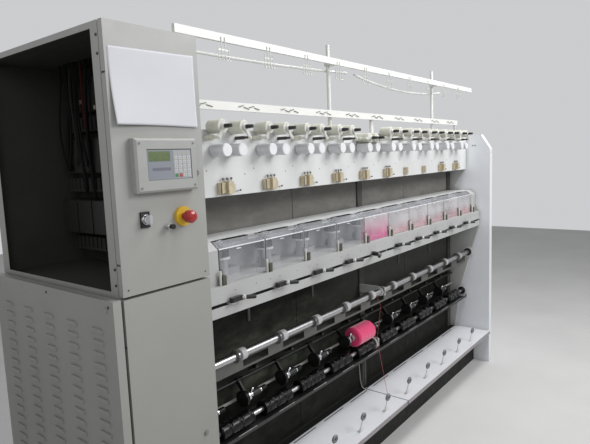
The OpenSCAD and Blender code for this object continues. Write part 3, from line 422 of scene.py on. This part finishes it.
def off_axis(c, axis):
    """Distance of a point from an axis along X, in mm."""
    _, y, z = mm(c)
    return math.hypot(y - axis[0], z - axis[1])


def nearest_head(x, dx=0.0):
    """Distance along X from the nearest head's centre shifted by dx, and that head's number."""
    k = min(HEADS - 1, max(0, round((x - dx - FIRST) / PITCH)))
    return x - dx - head(k), k


def lock_rule(x, z):
    """Grey lock at x and z on a door."""
    return lambda c, n: 1 if mm(c)[1] < -0.5 and near(c, x, z, 12) else 0


def take_up_rule(c, n):
    """Shaft bright; of what stands out from it the collars pale, the rest grey."""
    if off_axis(c, TAKE_UP) <= 17:
        return 0
    return 1 if abs(nearest_head(mm(c)[0], 11)[0]) < 15 else 2


def tray_rule(c, n):
    """Drum guard and cradle rod black, the fold above the guard pale as painted highlight, the tray grey.
    """
    z, guard_top, fold_top = mm(c)[2], 589, 604
    if z < guard_top or off_axis(c, CRADLE_ROD) < 7:
        return 1
    # Painted highlight: the fold above the guard paler than the tray sheet it is bent from
    return 2 if z < fold_top else 0


def bearing_rule(c, n):
    """End plates in the frame's colour, carriers between them white, black round the two shafts."""
    x, left_plate, right_plate = mm(c)[0], 332.2, 3106.8
    if not left_plate < x < right_plate:
        return 0
    at_bearing = min(off_axis(c, TAKE_UP), off_axis(c, WINDING)) < 29
    return 2 if (abs(n.x) < 0.5 or x > 3000) and at_bearing else 1


def shell_rule(c, n):
    """Black where the shell stands out at its left, dark inside the bays as painted shade."""
    x, y, z = mm(c)
    if x < -0.4:
        return 2
    # Painted shade inside the bays
    return 1 if 1.0 < x < 323.5 and 30 < y < 744.5 and 60 < z < 1985 else 0


def gear_rule(c, n):
    """Mounting plate dark as painted shade, ducts in rows 220 mm apart, devices between them."""
    x, _, z = mm(c)
    plate_x, first_duct, rows, duct = 297, 1300, 220, 52
    # Painted shade on the mounting plate
    if x > plate_x:
        return 2
    return 1 if (z - first_duct) % rows < duct else 0


def bezel_rule(c, n):
    """Collar of the emergency stop yellow, the selector's base black, the rest chrome."""
    x, y, _ = mm(c)
    if x > 190:
        return 0
    return 1 if x < 120 and y > -6.5 else 2


def frame_rule(c, n):
    """Plinth black as painted shadow under the shelf, rear posts darker grey as painted shade, all that
    faces back in the frame's colour.
    """
    _, y, z = mm(c)
    plinth_top, post_y, low_post_y, low_post_top = 247.2, 299, 287, 498
    if n.y > 0.5:
        return 0
    # Painted shadow: the plinth under the shelf drawn black
    if z < plinth_top:
        return 1
    # Painted shade: the rear posts in a darker grey
    return 2 if y > post_y or (y > low_post_y and z < low_post_top) else 0


def stop_rule(c, n):
    """Stop motions: brass block, its left end black in front and on top, dark arm, grey feeler ball."""
    left_end, right_end, ball_z = -32.9, 43, 1538
    d = nearest_head(mm(c)[0], -18)[0]
    if d < left_end:
        return 1 if n.y < -0.5 or n.z > 0.5 else 0
    if d > right_end:
        return 2
    return 3 if mm(c)[2] > ball_z else 0


def roller_rule(c, n):
    """Handles black, necks and arms pale, roller ends cream, bodies olive, pivot rods dark."""
    x, y, z = mm(c)
    k = nearest_head(x, -23)[1]
    axis_z, left, right = (1738.0, -78.6, 32.6) if k != RUNNING else (1701.6, -57.1, 11.1)
    handle_y, neck_y, flange_y, stud_y = 91.5, 102.5, 104.5, 131.5
    r = min(math.hypot(x - head(k) - dx, z - axis_z) for dx in (left, right))
    if y < handle_y:
        return 1
    if y < neck_y:
        return 2
    if r < 26:
        return 3 if y < flange_y else 0
    if near(c, head(k) - 103, 1699, 11):
        return 0 if y > stud_y else 3
    return 4


def bench_rule(c, n):
    """Catches in two tones, hinge rod dark, compartment rear walls and the ledge's underside grey as
    painted shade, the ledge's top paler than the front as painted light.
    """
    x, y, z = mm(c)
    from_gap = (x - GAP_X + PITCH / 2) % PITCH - PITCH / 2
    catch, block_x, block_top = 13.2, -4.05, 1204.2
    rod_radius, ledge_z = 3, 1322.5
    if 82.5 < y < 105.5 and 1167 < z < 1222 and abs(from_gap) < catch:
        return 2 if from_gap < block_x or z > block_top else 4
    if abs(off_axis(c, COVER_HINGE) - rod_radius) < 0.4:
        return 1
    # Painted shade: the compartments' rear walls and the ledge's underside in a darker grey
    if 300 > y > 256 and n.y < -0.5 and z < 1322 or n.z < -0.5 and z > 1300:
        return 3
    # Painted light: the ledge's top, which faces up, in the paler panel white
    return 0 if z < ledge_z else 5


def head_rule(c, n):
    """Knitting heads dark, with a white flange on a pale foot."""
    z, flange_bottom, flange_top = mm(c)[2], 1242.5, 1249.5
    if z > flange_top:
        return 1
    return 2 if z > flange_bottom else 0


def cover_rule(k):
    """Side edges and foot bright as painted highlight, the top hazier than the front as painted reflection
    of the light from above.
    """
    x0, skin, foot_z = head(k) + COVER_X, 0.3, 1171.2

    def rule(c, n):
        x, _, z = mm(c)
        # Painted highlight on the side edges and the foot, painted reflection on the top faces
        if abs(x - x0) < skin or abs(x - x0 - COVER_WIDTH) < skin or z < foot_z:
            return 1
        return 2 if abs(n.z) > 0.3 else 0
    return rule


def lever_axes(k):
    """Directions of a start lever's arm and of its grip."""
    turn = math.radians(LEVER_SWING if k == RUNNING else 0)
    bend = turn + math.radians(LEVER_BEND)
    return Vector((math.cos(turn), -math.sin(turn), 0)), Vector((math.cos(bend), -math.sin(bend), 0))


def lever_rule(k):
    """Block black, neck pale and grip rubber, told by how far out a face is along the grip."""
    arm, grip = lever_axes(k)
    knee = P(head(k) + LEVER_X, LEVER_Y, LEVER_Z) + arm * (LEVER_ARM / 1000)
    neck_start, grip_start = 0.0065, 0.0137

    def rule(c, n):
        out = (c - knee).dot(grip)
        return 2 if out > grip_start else 1 if out > neck_start else 0
    return rule


def cradle_rule(k):
    """Black, with a chrome ring at the knob and, on the running cradle, a steel mandrel end; the empty
    cradles' mandrel ends are black as painted shade.
    """
    x0 = P(head(k) + CRADLE_X, 0, 0).x
    ring_start, ring_end, ring_top, mandrel_end = 0.0415, 0.0555, 0.65, 0.1455

    def rule(c, n):
        out = c.x - x0
        if out > mandrel_end:
            # Painted shade: on the empty cradles the mandrel end is drawn black like the cradle
            return 2 if k == RUNNING else 0
        return 1 if ring_start < out < ring_end and c.z < ring_top else 0
    return rule


paint("cabinet_shell", ["cabinet", "inside", "black"], shell_rule)
paint("upper_door", ["cabinet", "knob_grey"], lock_rule(294, 1580))
paint("lower_door", ["cabinet", "knob_grey"], lock_rule(268, 724))
paint("louvre_cover", ["cabinet"])
paint("electrical_gear", ["gear", "duct", "inside"], gear_rule)
paint("operator_terminal", ["terminal", "knob_grey"], lambda c, n: 1 if mm(c)[1] < -28.2 else 0)
paint("control_bezels", ["yellow", "black", "chrome"], bezel_rule)
paint("emergency_stop_button", ["red"])
paint("jog_button", ["black"])
paint("selector_switch", ["chrome"])
paint("machine_frame", ["frame", "plinth", "post"], frame_rule)
paint("bearing_plates", ["frame", "panel", "black"], bearing_rule)
paint("back_panels", ["back", "tray"], lambda c, n: 1 if n.y > 0.5 else 0)
paint("end_plate", ["plate_white"])
paint("thread_rails", ["rail_white"])
paint("thread_guides", ["wire", "dark_steel"], lambda c, n: 1 if mm(c)[2] < 1900 else 0)
paint("feed_panel", ["panel"])
paint("feed_drums", ["drum_body", "drum_face"], lambda c, n: 1 if mm(c)[1] < 100.5 else 0)
paint("pressure_rollers", ["olive", "black", "arm_white", "cream", "dark_steel"], roller_rule)
paint("stop_motions", ["brass", "black", "dark_steel", "knob_grey"], stop_rule)
paint("bench", ["bench_white", "dark_steel", "arm_white", "compartment", "catch", "panel"], bench_rule)
paint("knitting_heads", ["head_light", "head_dark", "panel"], head_rule)
paint("fascia", ["bench_white"])
paint("take_up_shaft", ["steel", "collar", "tray"], take_up_rule)
paint("shaft_trays", ["tray", "tray_black", "fold_highlight"], tray_rule)
paint("winding_shaft", ["steel"])
paint("winding_drums", ["gloss_black"])
paint("bobbin", ["yarn", "core"], lambda c, n: 1 if mm(c)[0] < head(RUNNING) - 92.5 else 0)
# Painted shade: the front face of the shelf's lip darker than its top
paint("yarn_shelf", ["shelf", "shelf_edge"], lambda c, n: 1 if n.y < -0.5 and mm(c)[1] < -7.5 else 0)
paint("yarn_eyelets", ["ring_grey", "wire"], lambda c, n: 1 if mm(c)[2] < 300 else 0)
for i in range(HEADS):
    # the running cover is pink inside, and those to its right are stained with it
    cover = "clear_pink" if i == RUNNING else ("clear" if i < RUNNING else "clear_blush")
    paint(f"needle_cover_{i + 1}", [cover, "clear_highlight", "clear_top_reflection"], cover_rule(i))
    paint(f"start_lever_{i + 1}", ["black", "arm_white", "rubber"], lever_rule(i))
    paint(f"bobbin_cradle_{i + 1}", ["cradle", "chrome", "steel"], cradle_rule(i))


# Helpers for the pieces that only this scene has
def add(name, verts, faces, mats, body, smooth=False):
    me = bpy.data.meshes.new(name)
    me.from_pydata([tuple(v) for v in verts], [], faces)
    for key in mats:
        me.materials.append(M[key])
    for p in me.polygons:
        p.use_smooth = smooth
    o = bpy.data.objects.new(name, me)
    scene.collection.objects.link(o)
    if body:
        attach(o, body)
    return o


def blocks(name, boxes, mat, body, width=0.0006):
    """Several bevelled boxes in one piece, each (x0, x1, y0, y1, z0, z1) in building mm."""
    verts, faces = [], []
    for x0, x1, y0, y1, z0, z1 in boxes:
        n = len(verts)
        verts += [P(x, y, z) for x in (x0, x1) for y in (y0, y1) for z in (z0, z1)]
        faces += [tuple(n + i for i in f) for f in
                  [(0, 1, 3, 2), (4, 6, 7, 5), (0, 4, 5, 1), (2, 3, 7, 6), (0, 2, 6, 4), (1, 5, 7, 3)]]
    o = add(name, verts, faces, [mat], body)
    if width:
        b = o.modifiers.new("bevel", "BEVEL")
        b.width = width
        b.segments = 2
        b.limit_method = "ANGLE"
    return o


def prisms(name, spans, outline, mat, body):
    """Equal prisms along X, each from x0 to x1, with one outline in Y and Z."""
    verts, faces = [], []
    m = len(outline)
    for x0, x1 in spans:
        n = len(verts)
        verts += [P(x, y, z) for x in (x0, x1) for y, z in outline]
        faces += [(n + i, n + (i + 1) % m, n + m + (i + 1) % m, n + m + i) for i in range(m)]
        faces += [tuple(n + i for i in range(m))[::-1], tuple(n + m + i for i in range(m))]
    return add(name, verts, faces, [mat], body)


def tube_mesh(path, radius, sides=8):
    """Vertices and faces of a round tube along a path in the row frame."""
    verts, faces = [], []
    pts = [Vector(p) for p in path]
    side = None
    for i, p in enumerate(pts):
        d = (pts[min(i + 1, len(pts) - 1)] - pts[max(i - 1, 0)]).normalized()
        if side is None:
            side = d.orthogonal().normalized()
        side = (side - d * side.dot(d)).normalized()
        up = d.cross(side)
        for s in range(sides):
            a = 2 * math.pi * s / sides
            verts.append(p + (side * math.cos(a) + up * math.sin(a)) * radius)
    for i in range(len(pts) - 1):
        for s in range(sides):
            t = (s + 1) % sides
            faces.append((i * sides + s, i * sides + t, (i + 1) * sides + t, (i + 1) * sides + s))
    faces += [tuple(range(sides))[::-1], tuple((len(pts) - 1) * sides + s for s in range(sides))]
    return verts, faces


def ring_of(centre, axis, radius, sides):
    """Points on a circle round an axis."""
    u = axis.orthogonal().normalized()
    v = axis.cross(u)
    angles = [2 * math.pi * s / sides for s in range(sides)]
    return [centre + (u * math.cos(a) + v * math.sin(a)) * radius for a in angles]


def turned(name, parts, mat, body, sides=20):
    """Turned pieces in one mesh, each (centre mm, axis, [(offset mm, radius mm), ...])."""
    verts, faces = [], []
    for centre, axis, profile in parts:
        a = Vector(axis).normalized()
        c = P(*centre)
        base = len(verts)
        for off, rad in profile:
            verts += ring_of(c + a * (off / 1000), a, rad / 1000, sides)
        for j in range(len(profile) - 1):
            for t in range(sides):
                t2 = (t + 1) % sides
                b0, b1 = base + j * sides, base + (j + 1) * sides
                faces.append((b0 + t, b0 + t2, b1 + t2, b1 + t))
        faces.append(tuple(base + t for t in range(sides))[::-1])
        faces.append(tuple(base + (len(profile) - 1) * sides + t for t in range(sides)))
    o = add(name, verts, faces, [mat], body, True)
    o.modifiers.new("edges", "EDGE_SPLIT").split_angle = SPLIT_ANGLE
    return o


def screw(x, y, z, axis, r=4.0, h=2.0):
    """A part for turned(): a low head with a chamfer, its foot sunk 0.6 mm."""
    return ((x, y, z), axis, [(-0.6, r), (h * 0.6, r), (h, r * 0.7)])


def hub(k):
    """Left end and axis of a cradle's hub, in building mm."""
    return (head(k) + CRADLE_X, *(RUNNING_HUB if k == RUNNING else HUB))


# The pieces
def paper():
    """The blank sheet on the upper door: flat at the top, lifted along its lower edge and left corner."""
    x0, x1, z0, z1, door_top = 9.7, 307.0, 1723.0, 1933.0, 1972
    nu, nv = 48, 36
    verts, faces = [], []
    for j in range(nv + 1):
        v = j / nv
        for i in range(nu + 1):
            u = i / nu
            low = max(0.0, 1 - v / 0.7)
            corner = max(0.0, 1 - math.hypot(u / 0.5, v / 0.8))
            lift = 0.5 + 5.0 * low ** 2 + 9 * corner ** 1.6 + 0.8 * math.sin(5 * u + 3 * v) * (1 - v)
            x = x0 + (x1 - x0) * u + 5 * corner ** 1.5 * (1 - u) - 0.4
            z = z0 + (z1 - z0) * v + 2.0 * math.sin(math.pi * u) * (1 - v) - 2.4 * u * (1 - v)
            z += 7 * u * v - 1.4 * v
            verts.append(P(x, -lift, min(z, door_top)))
    for j in range(nv):
        for i in range(nu):
            a = j * (nu + 1) + i
            faces.append((a, a + 1, a + nu + 2, a + nu + 1))
    o = add("notice_sheet", verts, faces, ["paper"], "upper_door", True)
    s = o.modifiers.new("thick", "SOLIDIFY")
    s.thickness = 0.0002
    s.offset = -1


def terminal_face():
    """Face of the operator terminal: recess with painted shadow along its top and right, membrane, display,
    and a plate of keys without legends.
    """
    tx, ty, tz = 55, -27, 1532  # lower left corner of its front

    def lay(name, boxes, mat, width):
        blocks("terminal_" + name, [(tx + x0, tx + x1, ty + y0, ty + y1, tz + z0, tz + z1)
                                    for x0, x1, y0, y1, z0, z1 in boxes], mat, "upper_door", width)

    # Painted shadow: dark lines along the top and the right side of the recess
    lay("recess_shadow", [(37.4, 198.6, -0.15, 0.4, 121.4, 123.4),
                         (197.2, 199.2, -0.15, 0.4, 33.6, 123.4)], "inside", 0)
    lay("membrane", [(39, 197, 0.2, 0.9, 35, 121)], "membrane", 0.0002)
    lay("display_bezel", [(42, 119, -0.05, 0.6, 88, 117)], "bezel", 0.0004)
    lay("display", [(46, 115, -0.2, 0.5, 92, 112)], "lcd", 0.0002)
    lay("strip", [(54, 120, -0.02, 0.4, 61, 70)], "strip", 0.0002)
    lay("plate", [(130, 196, 0.0, 0.5, 37, 119)], "plate_pale", 0.0002)
    keys = {"key_white": [], "key_green": [], "key_red": []}
    marks = []
    for column in range(4):
        for row in range(5):
            kind = {(0, 0): "key_green", (1, 0): "key_red"}.get((column, row), "key_white")
            x, z = 133.2 + 16 * column, 40.2 + 13 * row
            keys[kind].append((x, x + 11.6, -0.9, 0.3, z, z + 10.4))
            if kind == "key_white":
                marks.append((x + 4.4, x + 7.2, -1.0, -0.5, z + 4.0, z + 6.4))
    for kind, boxes in keys.items():
        lay(kind, boxes, kind, 0.0008)
    lay("key_marks", marks, "strip", 0)


def threads():
    """The yarn of the running head: take-up shaft, drum's end and eyelet, and the end on the bobbin."""
    x, steps, radius, sides = head(RUNNING), 8, 0.0010, 6
    stops = [P(x + 40, 141, 846), P(x + 98, 149, 770), P(x + 97.5, 176, 572), P(x - 54, 30, 323)]
    path = [a.lerp(b, t / steps) for a, b in zip(stops, stops[1:]) for t in range(steps)] + [stops[-1]]
    add("yarn_down", *tube_mesh(path, radius, sides), ["thread"], "machine", True)
    bob = P(x + 62, RUNNING_HUB[0] - 52, RUNNING_HUB[1] - 20)
    path = [stops[2].lerp(bob, t / steps) for t in range(steps + 1)]
    o = add("yarn_up", *tube_mesh(path, radius, sides), ["thread"], None, True)
    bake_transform(o)


def grooved_drums():
    """The ten winding drums, each with two crossing spiral grooves that start at an angle of its own."""
    steps, sides = 96, 44
    length, radius, chamfer, chamfer_depth = 180.0, 33.0, 3.0, 2.2
    turns, margin, depth, half_width, shift = 2.5, 12, 4.6, 5.0, 0.37
    verts, faces = [], []
    for k in range(HEADS):
        base = len(verts)
        x0 = head(k) - length / 2
        for i in range(steps + 1):
            x = length * i / steps
            end = min(x, length - x)
            cut = chamfer_depth * (1 - end / chamfer) if end < chamfer else 0
            for j in range(sides):
                th = 2 * math.pi * j / sides
                off = length
                for m in range(int(2 * turns)):
                    t = ((th / (2 * math.pi) + m + shift * k) % (2 * turns)) / turns
                    centre = margin + (length - 2 * margin) * (t if t < 1 else 2 - t)
                    off = min(off, abs(x - centre))
                r = radius - depth * max(0.0, 1 - (off / half_width) ** 2) - cut
                verts.append(P(x0 + x, WINDING[0] + r * math.cos(th), WINDING[1] + r * math.sin(th)))
        for i in range(steps):
            for j in range(sides):
                j2 = (j + 1) % sides
                a, b = base + i * sides, base + (i + 1) * sides
                faces.append((a + j, b + j, b + j2, a + j2))
        faces.append(tuple(base + j for j in range(sides)))
        faces.append(tuple(base + steps * sides + j for j in range(sides))[::-1])
    o = add("grooved_drums", verts, faces, ["gloss_black"], "winding", True)
    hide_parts("winding_drums")


def cabinet_inside():
    """Cables that hang from the top of the dark upper bay, and small coloured fittings on its devices."""
    top, steps = 1984, 16
    bundles = {"cable": ([], []), "cable_red": ([], []), "cable_pale": ([], [])}
    for i in range(22):
        y0 = 140 + 23.0 * i + 9 * math.sin(2.1 * i)
        kind = "cable_red" if i in (8, 15) else ("cable_pale" if i in (4, 11, 18) else "cable")
        z_end = 1560 + 70 * math.sin(1.7 * i) + (110 if i % 3 == 0 else 0)
        path = []
        for t in [q / steps for q in range(steps + 1)]:
            x = 216 + 10 * math.sin(1.3 * i + 2.5 * t) * math.sin(math.pi * t) - 8 * math.sin(math.pi * t)
            y = y0 + 26 * math.sin(0.9 * i + 3 * t) * t
            path.append(P(x, y, top + (z_end - top) * t))
        verts, faces = bundles[kind]
        v, f = tube_mesh(path, 0.0035 + 0.0012 * (i % 3), 8)
        faces += [tuple(len(verts) + q for q in face) for face in f]
        verts += v
    for kind, (verts, faces) in bundles.items():
        add("bay_" + kind, verts, faces, [kind], "machine", True)
    fittings = {"key_red": [], "key_white": [], "brass": []}
    for i in range(14):
        y = 150 + 35 * i
        z = 1372 + 220 * (i % 3) + 9 * (i % 4)
        fittings[("key_red", "key_white", "brass")[i % 3]].append((225, 246, y, y + 10, z, z + 14))
    for kind, boxes in fittings.items():
        blocks("bay_fitting_" + kind, boxes, kind, "machine", 0.0006)


def small_fittings():
    """Screws, and the round guides on the rear sheets behind the two shafts."""
    parts = []
    for k in range(HEADS):
        parts += [screw(head(k) + dx, 175, z, FRONT, 2.6, 1.2)
                  for dx, z in ((-104, 1580), (64, 1700), (98, 1560))]
        parts += [screw(head(k) + dx, 71, 1146, FRONT, 2.4, 1.0) for dx in (-92, 22, 104)]
    turned("panel_screws", parts, "knob_grey", "machine", 12)
    turned("cabinet_side_screws", [screw(-35, y, z, LEFT, 4.5, 1.8) for y in (24, 373, 722)
                                   for z in (1222, 78)], "dark_steel", "machine", 12)
    turned("door_screws", [screw(x, 0, 1262, FRONT, 2.8, 1.0) for x in (18, 306)], "dark_steel",
           "upper_door", 12)
    turned("end_plate_screws", [screw(3140, 0, 1600, FRONT, 3.5, 1.2)]
           + [screw(3115, y, z, LEFT, 5, 2) for y in (110, 128) for z in (1655, 1090)],
           "dark_steel", "machine", 12)
    guides = [(head(k) + dx, z) for k in range(HEADS) for dx, z in ((62, 985), (-40, 700))]
    turned("rear_guides", [((x, SHEET_Y, z), FRONT, [(-0.4, 15), (10, 15), (14, 9), (34, 8), (36, 5)])
                           for x, z in guides], "cradle", "machine", 20)
    turned("rear_guide_caps", [((x, SHEET_Y - 36, z), FRONT, [(-0.4, 6), (3, 6), (5, 3)])
                               for x, z in guides], "dark_steel", "machine", 16)


def cradle_knobs():
    """Chrome ball handles that stand on the cradles' hubs."""
    ball, reach = 7, 30
    angles = [math.radians(d) for d in range(-60, 91, 15)]
    profile = [(12.5, 4), (24, 3.2)] + [(reach + ball * math.sin(a), max(0.6, ball * math.cos(a)))
                                        for a in angles]
    for k in range(HEADS):
        x, y, z = hub(k)
        turned(f"cradle_knob_{k + 1}", [((x + 49, y, z), (0.25, -0.3, 1), profile)], "chrome",
               f"cradle_{k + 1}", 16)


def cradle_trim():
    """Curved strap round each hub, and a black sleeve with a bright cap on each empty mandrel."""
    steps, start, sweep = 20, 250, 170
    section = ((19.6, 24), (24.5, 24), (24.5, 34), (19.6, 34))  # radius and X of the strap's corners
    for k in range(HEADS):
        x, y, z = hub(k)
        verts, faces = [], []
        for i in range(steps + 1):
            a = math.radians(start - sweep * i / steps)
            verts += [P(x + dx, y + r * math.cos(a), z + r * math.sin(a)) for r, dx in section]
        for i in range(steps):
            for t in range(4):
                t2 = (t + 1) % 4
                faces.append((4 * i + t, 4 * i + t2, 4 * i + 4 + t2, 4 * i + 4 + t))
        faces += [(3, 2, 1, 0), tuple(4 * steps + t for t in range(4))]
        add(f"cradle_strap_{k + 1}", verts, faces, ["chrome"], f"cradle_{k + 1}")
        if k != RUNNING:
            turned(f"mandrel_sleeve_{k + 1}",
                   [((x, y, z), RIGHT, [(56, 15), (58, 17.5), (101, 17.5), (104, 15)])],
                   "rubber", f"cradle_{k + 1}", 24)
            turned(f"mandrel_cap_{k + 1}",
                   [((x, y, z), RIGHT, [(104, 12.5), (105, 14.5), (111, 14.5), (114, 12.3)])],
                   "chrome", f"cradle_{k + 1}", 24)


def guard_highlights():
    """Bright strip on the edge of the drum guard, one length under each drum: a painted highlight."""
    blocks("guard_highlights", [(head(k) - 20, head(k) + 88, 167.2, 170.8, 510.5, 513.4)
                           for k in range(HEADS)], "steel", "machine", 0.0004)


def shelf_lines():
    """Dark seam across the yarn shelf, and dark strips as painted shade in the long slots near its rear
    edge.
    """
    seam, half = 1726.5, 2.8
    blocks("shelf_seam", [(seam - half, seam + half, -8.4, 261.5, 249.4, 250.4),
                          (seam - half, seam + half, -8.4, -7.6, 225.5, 249.4)], "plinth", "machine", 0)
    # Painted shade: dark strips lying in the slots near the shelf's rear edge
    blocks("shelf_slot_shadows", [(head(k) - 90, head(k) + 92, 244.2, 249.6, 249.6, 250.3)
                           for k in range(HEADS)], "plinth", "machine", 0)


def drain_hose():
    """Pale hose that hangs from the drum guard to the shelf."""
    path = [P(*q) for q in ((1636, 255, 511), (1640, 255, 470), (1645, 254, 400), (1652, 254, 335),
                            (1668, 255, 290), (1695, 257, 264), (1733, 258, 254))]
    add("drain_hose", *tube_mesh(path, 0.0032, 10), ["hose"], "machine", True)


def lever_collars():
    """Polished collar between the block and the grip of each start lever."""
    out = 14
    for k in range(HEADS):
        arm, grip = lever_axes(k)
        x = head(k) + LEVER_X + LEVER_ARM * arm.x + out * grip.x
        y = LEVER_Y + LEVER_ARM * arm.y + out * grip.y
        turned(f"lever_collar_{k + 1}",
               [((x, y, LEVER_Z), tuple(grip), [(-1, 6), (-0.5, 8.6), (5.5, 8.6), (6, 8)])],
               "arm_white", f"lever_{k + 1}", 20)


def jog_bushing():
    """Chrome bushing round the push button's plunger."""
    sides, profile = 24, [(8, 9.4), (9, 9.9), (21, 9.4), (22, 8.6), (22, 7.9), (8, 7.9)]
    verts, faces = [], []
    for off, rad in profile:
        verts += ring_of(P(165, -off, 1427), Vector(FRONT), rad / 1000, sides)
    for j in range(len(profile)):
        for t in range(sides):
            t2 = (t + 1) % sides
            b0, b1 = j * sides, (j + 1) % len(profile) * sides
            faces.append((b0 + t, b0 + t2, b1 + t2, b1 + t))
    o = add("jog_bushing", verts, faces, ["chrome"], "upper_door", True)
    o.modifiers.new("edges", "EDGE_SPLIT").split_angle = SPLIT_ANGLE


def rear_stays():
    """Thin upright stays in front of the rear sheets, and fillers in the two seams between the sheets."""
    blocks("rear_stays", [(x - 7, x + 7, 303, 309.7, 905, 1160) for x in (815, 1292, 2246, 2723)],
           "tray", "machine", 0.0008)
    blocks("rear_seams", [(x - 1.7, x + 1.7, 311.8, 313.3, 251, 1689) for x in (1159.5, 2335.5)],
           "plinth", "machine", 0)


def shaft_trim():
    """Smooth skin over the take-up shaft, and the pale ring at the running drum's right end."""
    turned("take_up_skin", [((345, *TAKE_UP), RIGHT, [(0, 16.12), (2748, 16.12)])],
           "steel", "take_up", 48)
    turned("drum_end_ring",
           [((head(RUNNING) + 91, *WINDING), RIGHT, [(-0.6, 35), (0, 36.4), (5, 36.4), (5.6, 35)])],
           "arm_white", "winding", 40)


def cover_trim():
    """Finger tabs of the clear covers, and their bends as painted highlight; black strips as painted shadow
    in the slit behind the covers, on the hinge slots and in the gaps between the covers.
    """
    for k in range(HEADS):
        x0 = head(k) + COVER_X
        blocks(f"cover_tab_{k + 1}", [(x0 + 86, x0 + 110, 101.4, 104.3, 1285.5, 1289.5)], "clear_highlight",
               f"cover_{k + 1}", 0.001)
        # Painted highlight along each cover's bend
        prisms(f"cover_bend_{k + 1}", [(x0 + 0.5, x0 + COVER_WIDTH - 0.5)],
               [(103.9, 1295.2), (104.6, 1297.6), (106.4, 1299.0), (106.4, 1297.2)], "clear_highlight",
               f"cover_{k + 1}")
    # Painted shadow: black strips in the slit behind the covers, on the hinge slots and in the gaps between
    # them
    prisms("hinge_line_shadows", [(head(k) - 122, head(k) + 74) for k in range(HEADS)],
           [(153.8, 1304), (155.45, 1304), (155.45, 1322.8), (153.8, 1322.8)], "black", "machine")
    prisms("hinge_slot_shadows", [(head(k) - 98, head(k) + 62) for k in range(HEADS)],
           [(154.5, 1322.7), (160.5, 1322.7), (160.5, 1323.3), (154.5, 1323.3)], "black", "machine")
    prisms("cover_gap_shadows", [(GAP_X + PITCH * k - 2, GAP_X + PITCH * k + 2) for k in range(HEADS + 1)],
           [(105.5, 1224), (109, 1224), (109, 1293), (139, 1314), (139, 1318), (105.5, 1295.5)], "black",
           "machine")


paper()
terminal_face()
threads()
grooved_drums()
cabinet_inside()
small_fittings()
cradle_knobs()
cradle_trim()
guard_highlights()
shelf_lines()
drain_hose()
lever_collars()
jog_bushing()
rear_stays()
shaft_trim()
cover_trim()


# Stage, light and background
def stage():
    half = 9
    me = bpy.data.meshes.new("floor")
    corners = [(-half, -half, 0), (half, -half, 0), (half, half, 0), (-half, half, 0)]
    me.from_pydata(corners, [], [(0, 1, 2, 3)])
    o = bpy.data.objects.new("floor", me)
    scene.collection.objects.link(o)
    m, nd, ln, b = new_mat("pale_floor")
    nt = m.node_tree
    tc = nd.new("ShaderNodeTexCoord").outputs["Object"]
    ln.new(ramp(nt, noise(nt, tc, 1.5, 4), [(0.3, (0.60, 0.60, 0.59)), (0.7, (0.66, 0.66, 0.65))]),
           b.inputs["Base Color"])
    b.inputs["Roughness"].default_value = 0.7
    me.materials.append(m)


def light(name, loc, aim, size, power):
    """An area light at loc that shines towards aim, in the row frame."""
    d = bpy.data.lights.new(name, "AREA")
    d.shape = "RECTANGLE"
    d.size, d.size_y = size
    d.energy = power
    o = bpy.data.objects.new(name, d)
    scene.collection.objects.link(o)
    o.location = loc
    o.rotation_euler = (Vector(aim) - Vector(loc)).to_track_quat("-Z", "Y").to_euler()


def world():
    """Pale surroundings, dimmer as a light than as a background or in a reflection."""
    w = bpy.data.worlds.new("studio")
    scene.world = w
    w.use_nodes = True
    nt = w.node_tree
    bg = nt.nodes["Background"]
    lp = nt.nodes.new("ShaderNodeLightPath")
    seen = math_node(nt, "MAXIMUM", lp.outputs["Is Camera Ray"], lp.outputs["Is Glossy Ray"])
    nt.links.new(maprange(nt, seen, 0.30, 0.62, 0, 1), bg.inputs["Strength"])
    bg.inputs["Color"].default_value = (0.97, 0.98, 1.0, 1)


camera()
stage()
world()
light("key", (1.6, -3.6, 3.7), (-0.3, 0, 1.1), (3.0, 1.6), 115)
light("top", (0.75, -0.9, 3.7), (0.55, -0.1, 1), (3.4, 0.5), 60)
light("fill", (-3.2, -2.4, 2.6), (-0.6, 0, 1.1), (1.8, 1.8), 22)

scene.view_settings.view_transform = "Standard"
